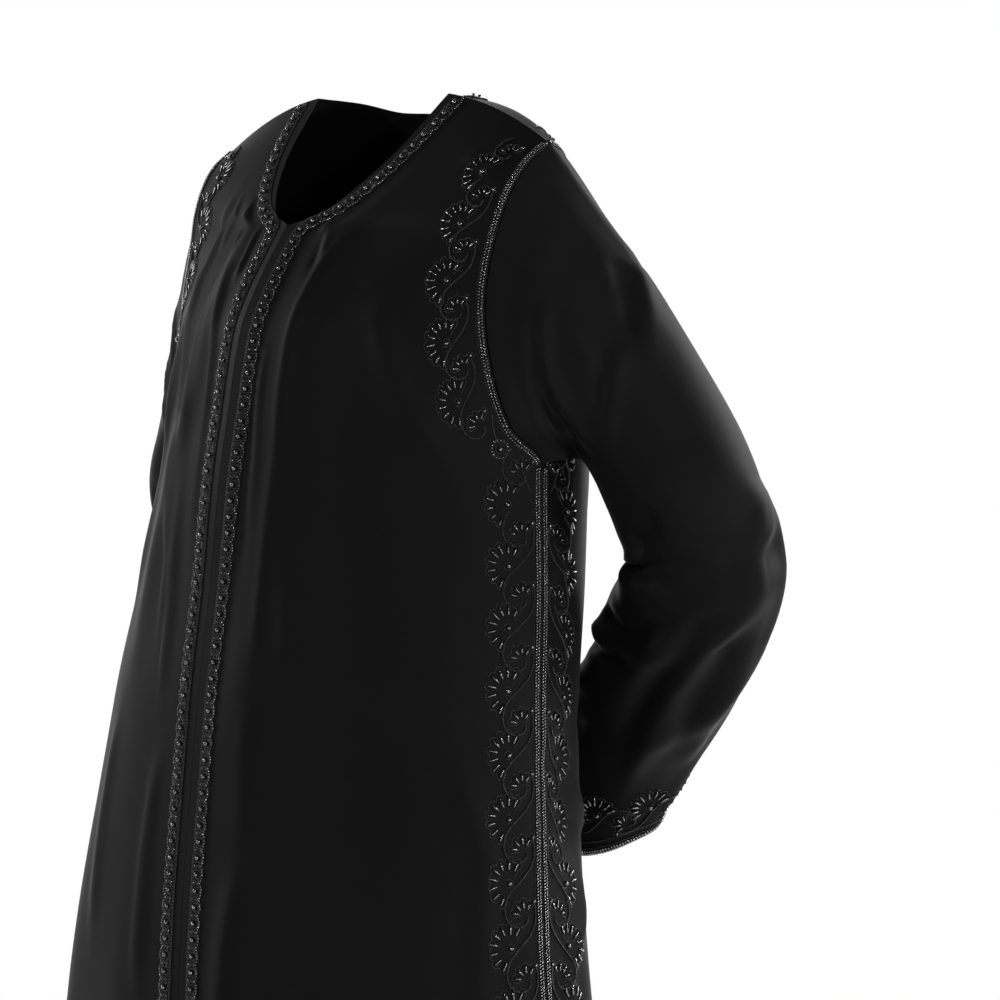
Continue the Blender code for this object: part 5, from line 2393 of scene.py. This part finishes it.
    def _sides(self, name: str, part: ClothPart, ground: Ground, column: int) -> None:
        """Sews the braids and vines along a side seam and an armhole.

        Args:
            name: What the pieces are called.
            part: The cloth that they are on.
            ground: The cloth that the vines may lie on.
            column: The column at the seam.
        """
        seam = part.edge(column, slice(0, self.underarm_row + 1), ground)
        armhole = part.edge(column, slice(self.underarm_row, None), ground)
        braid = Needlework(f"{name}_seam_braid", self.supplies, Ground(part.grid))
        for guide, gaps in ((seam, self.seam_gaps), (armhole, self.armhole_gaps)):
            self.braid.stitch(Stretch.within(braid, guide, gaps))
        vines = Needlework(f"{name}_vines", self.supplies, ground)
        first = self.first_side_flower
        self.vine.repeat(vines, seam, first - self.vine.pitch, Bloom.ROSETTE, start=True)
        self.vine.run_along(Stretch.within(vines, seam, (first, self.above_hem)))
        small = self.armhole_vine
        first = self.first_armhole_flower
        small.repeat(vines, armhole, first, Bloom.NONE, start=True)
        small.run_along(Stretch(vines, armhole, first + small.pitch, self.last_armhole_flower))
        self._join(vines, armhole, seam)
        part.sewn += braid.finish() + vines.finish()

    def _join(self, work: Needlework, armhole: Guide, seam: Guide) -> None:
        """Sews the stem that joins the armhole's vine to the side seam's.

        Args:
            work: Where to.
            armhole: The armhole's guide.
            seam: The side seam's guide.
        """
        run, off = np.array(self.join_above).T
        above = armhole.place(armhole.length - run, off)
        run, off = np.array(self.join_below).T
        below = seam.place(run, off)
        work.couch(curve_through(np.concatenate([above, below]), 3 * MM), self.vine.stem_cord)


@dataclass(frozen=True)
class Lamp:
    """A soft area light aimed at the robe."""

    name: str
    place: tuple[float, float, float]
    power: float
    size: float
    aim: tuple[float, float, float] = (0.0, 0.0, -0.6)

    def build(self) -> None:
        """Adds the light."""
        light = bpy.data.lights.new(self.name, "AREA")
        light.shape = "DISK"
        light.size = self.size
        light.energy = self.power
        made = bpy.data.objects.new(self.name, light)
        made.location = self.place
        way = Vector(self.aim) - Vector(self.place)
        made.rotation_euler = way.to_track_quat("-Z", "Y").to_euler()
        made.visible_camera = False
        bpy.context.scene.collection.objects.link(made)


@dataclass(frozen=True)
class Studio:
    """A white studio: pale floor, bright surroundings, side lights and the camera."""

    floor_z: float = -1.40
    floor_radius: float = 4.0
    camera_azimuth: float = math.radians(45)
    camera_place: tuple[float, float, float] = (2.9105, -2.7464, -0.15)
    lens: float = 172.8
    shift_y: float = -0.22
    glow: float = 0.09
    lamps: tuple[Lamp, ...] = (
        Lamp("right_side_light", (-3.3, -1.1, 0.9), 57.0, 1.6),
        Lamp("backdrop_glow", (-2.4, 2.4, -0.3), 110.0, 4.5),
        Lamp("back_light", (0.5, 3.7, 1.3), 100.0, 1.1),
        Lamp("left_back_light", (2.4, 2.8, 0.3), 38.0, 1.0),
        Lamp("left_side_light", (3.4, 1.0, 0.2), 34.0, 0.7),
        Lamp("near_left_light", (3.7, -1.5, 0.7), 34.0, 0.35),
        Lamp("near_right_light", (-1.6, -3.5, 0.9), 40.0, 0.35),
        Lamp("low_left_light", (3.5, -2.3, -0.9), 16.0, 0.9),
        Lamp("high_front_light", (1.6, -2.8, 2.4), 14.0, 0.35),
    )

    def build(self) -> None:
        """Builds the floor, the surroundings, the lights and the camera."""
        self._floor()
        self._surroundings()
        for lamp in self.lamps:
            lamp.build()
        camera = bpy.data.cameras.new("studio_camera")
        camera.lens = self.lens
        camera.sensor_width = 36.0
        camera.shift_y = self.shift_y
        camera.clip_end = 50.0
        made = bpy.data.objects.new("studio_camera", camera)
        made.location = self.camera_place
        made.rotation_euler = (math.pi / 2, 0.0, self.camera_azimuth)
        bpy.context.scene.collection.objects.link(made)
        bpy.context.scene.camera = made
        bpy.context.scene.view_settings.view_transform = "Standard"

    def _floor(self) -> None:
        """A round pale floor under the hem."""
        bpy.ops.object.select_all(action="DESELECT")
        bpy.ops.mesh.primitive_circle_add(vertices=96, radius=self.floor_radius, fill_type="NGON")
        floor = bpy.context.active_object
        floor.name = "studio_floor"
        for vertex in floor.data.vertices:
            vertex.co.z += self.floor_z
        floor.data.materials.append(FloorFinish().material())

    def _surroundings(self) -> None:
        """White to look at, and dimmer as a light."""
        world = bpy.data.worlds.new("white_studio")
        world.use_nodes = True
        tree = world.node_tree
        tree.nodes.clear()
        seen = add_node(tree, "ShaderNodeLightPath")
        white = linear("#ffffff")
        dim = add_node(tree, "ShaderNodeBackground", {0: white, 1: self.glow})
        bright = add_node(tree, "ShaderNodeBackground", {0: white, 1: 1.0})
        feeds = {0: seen.outputs["Is Camera Ray"], 1: dim.outputs[0], 2: bright.outputs[0]}
        both = add_node(tree, "ShaderNodeMixShader", links=feeds)
        add_node(tree, "ShaderNodeOutputWorld", links={0: both.outputs[0]})
        bpy.context.scene.world = world


def main() -> None:
    """Builds the studio, the robe's cloth and its needlework."""
    logging.basicConfig(level=logging.INFO, format="%(name)s: %(message)s")
    Studio().build()
    supplies = Haberdashery.prepare()
    robe = Robe()
    fronts = {side: FrontPanel(side, robe) for side in Side}
    back = BackPanel(robe)
    parts: dict[str, ClothPart] = {}
    for side in Side:
        parts[f"{side.label}_front"] = fronts[side].build(supplies)
        parts[f"{side.label}_sleeve"] = Sleeve(side, robe).build(supplies)
    parts["back"] = back.build(supplies)
    sewing = Embroidery(supplies, fronts, parts)
    for side in Side:
        sewing.front(side)
        sewing.back(side)
        sewing.sleeve(side)
    sewing.back_neck(back)
    sewing.hems()
    for part in parts.values():
        part.declare()


if __name__ == "__main__":
    main()
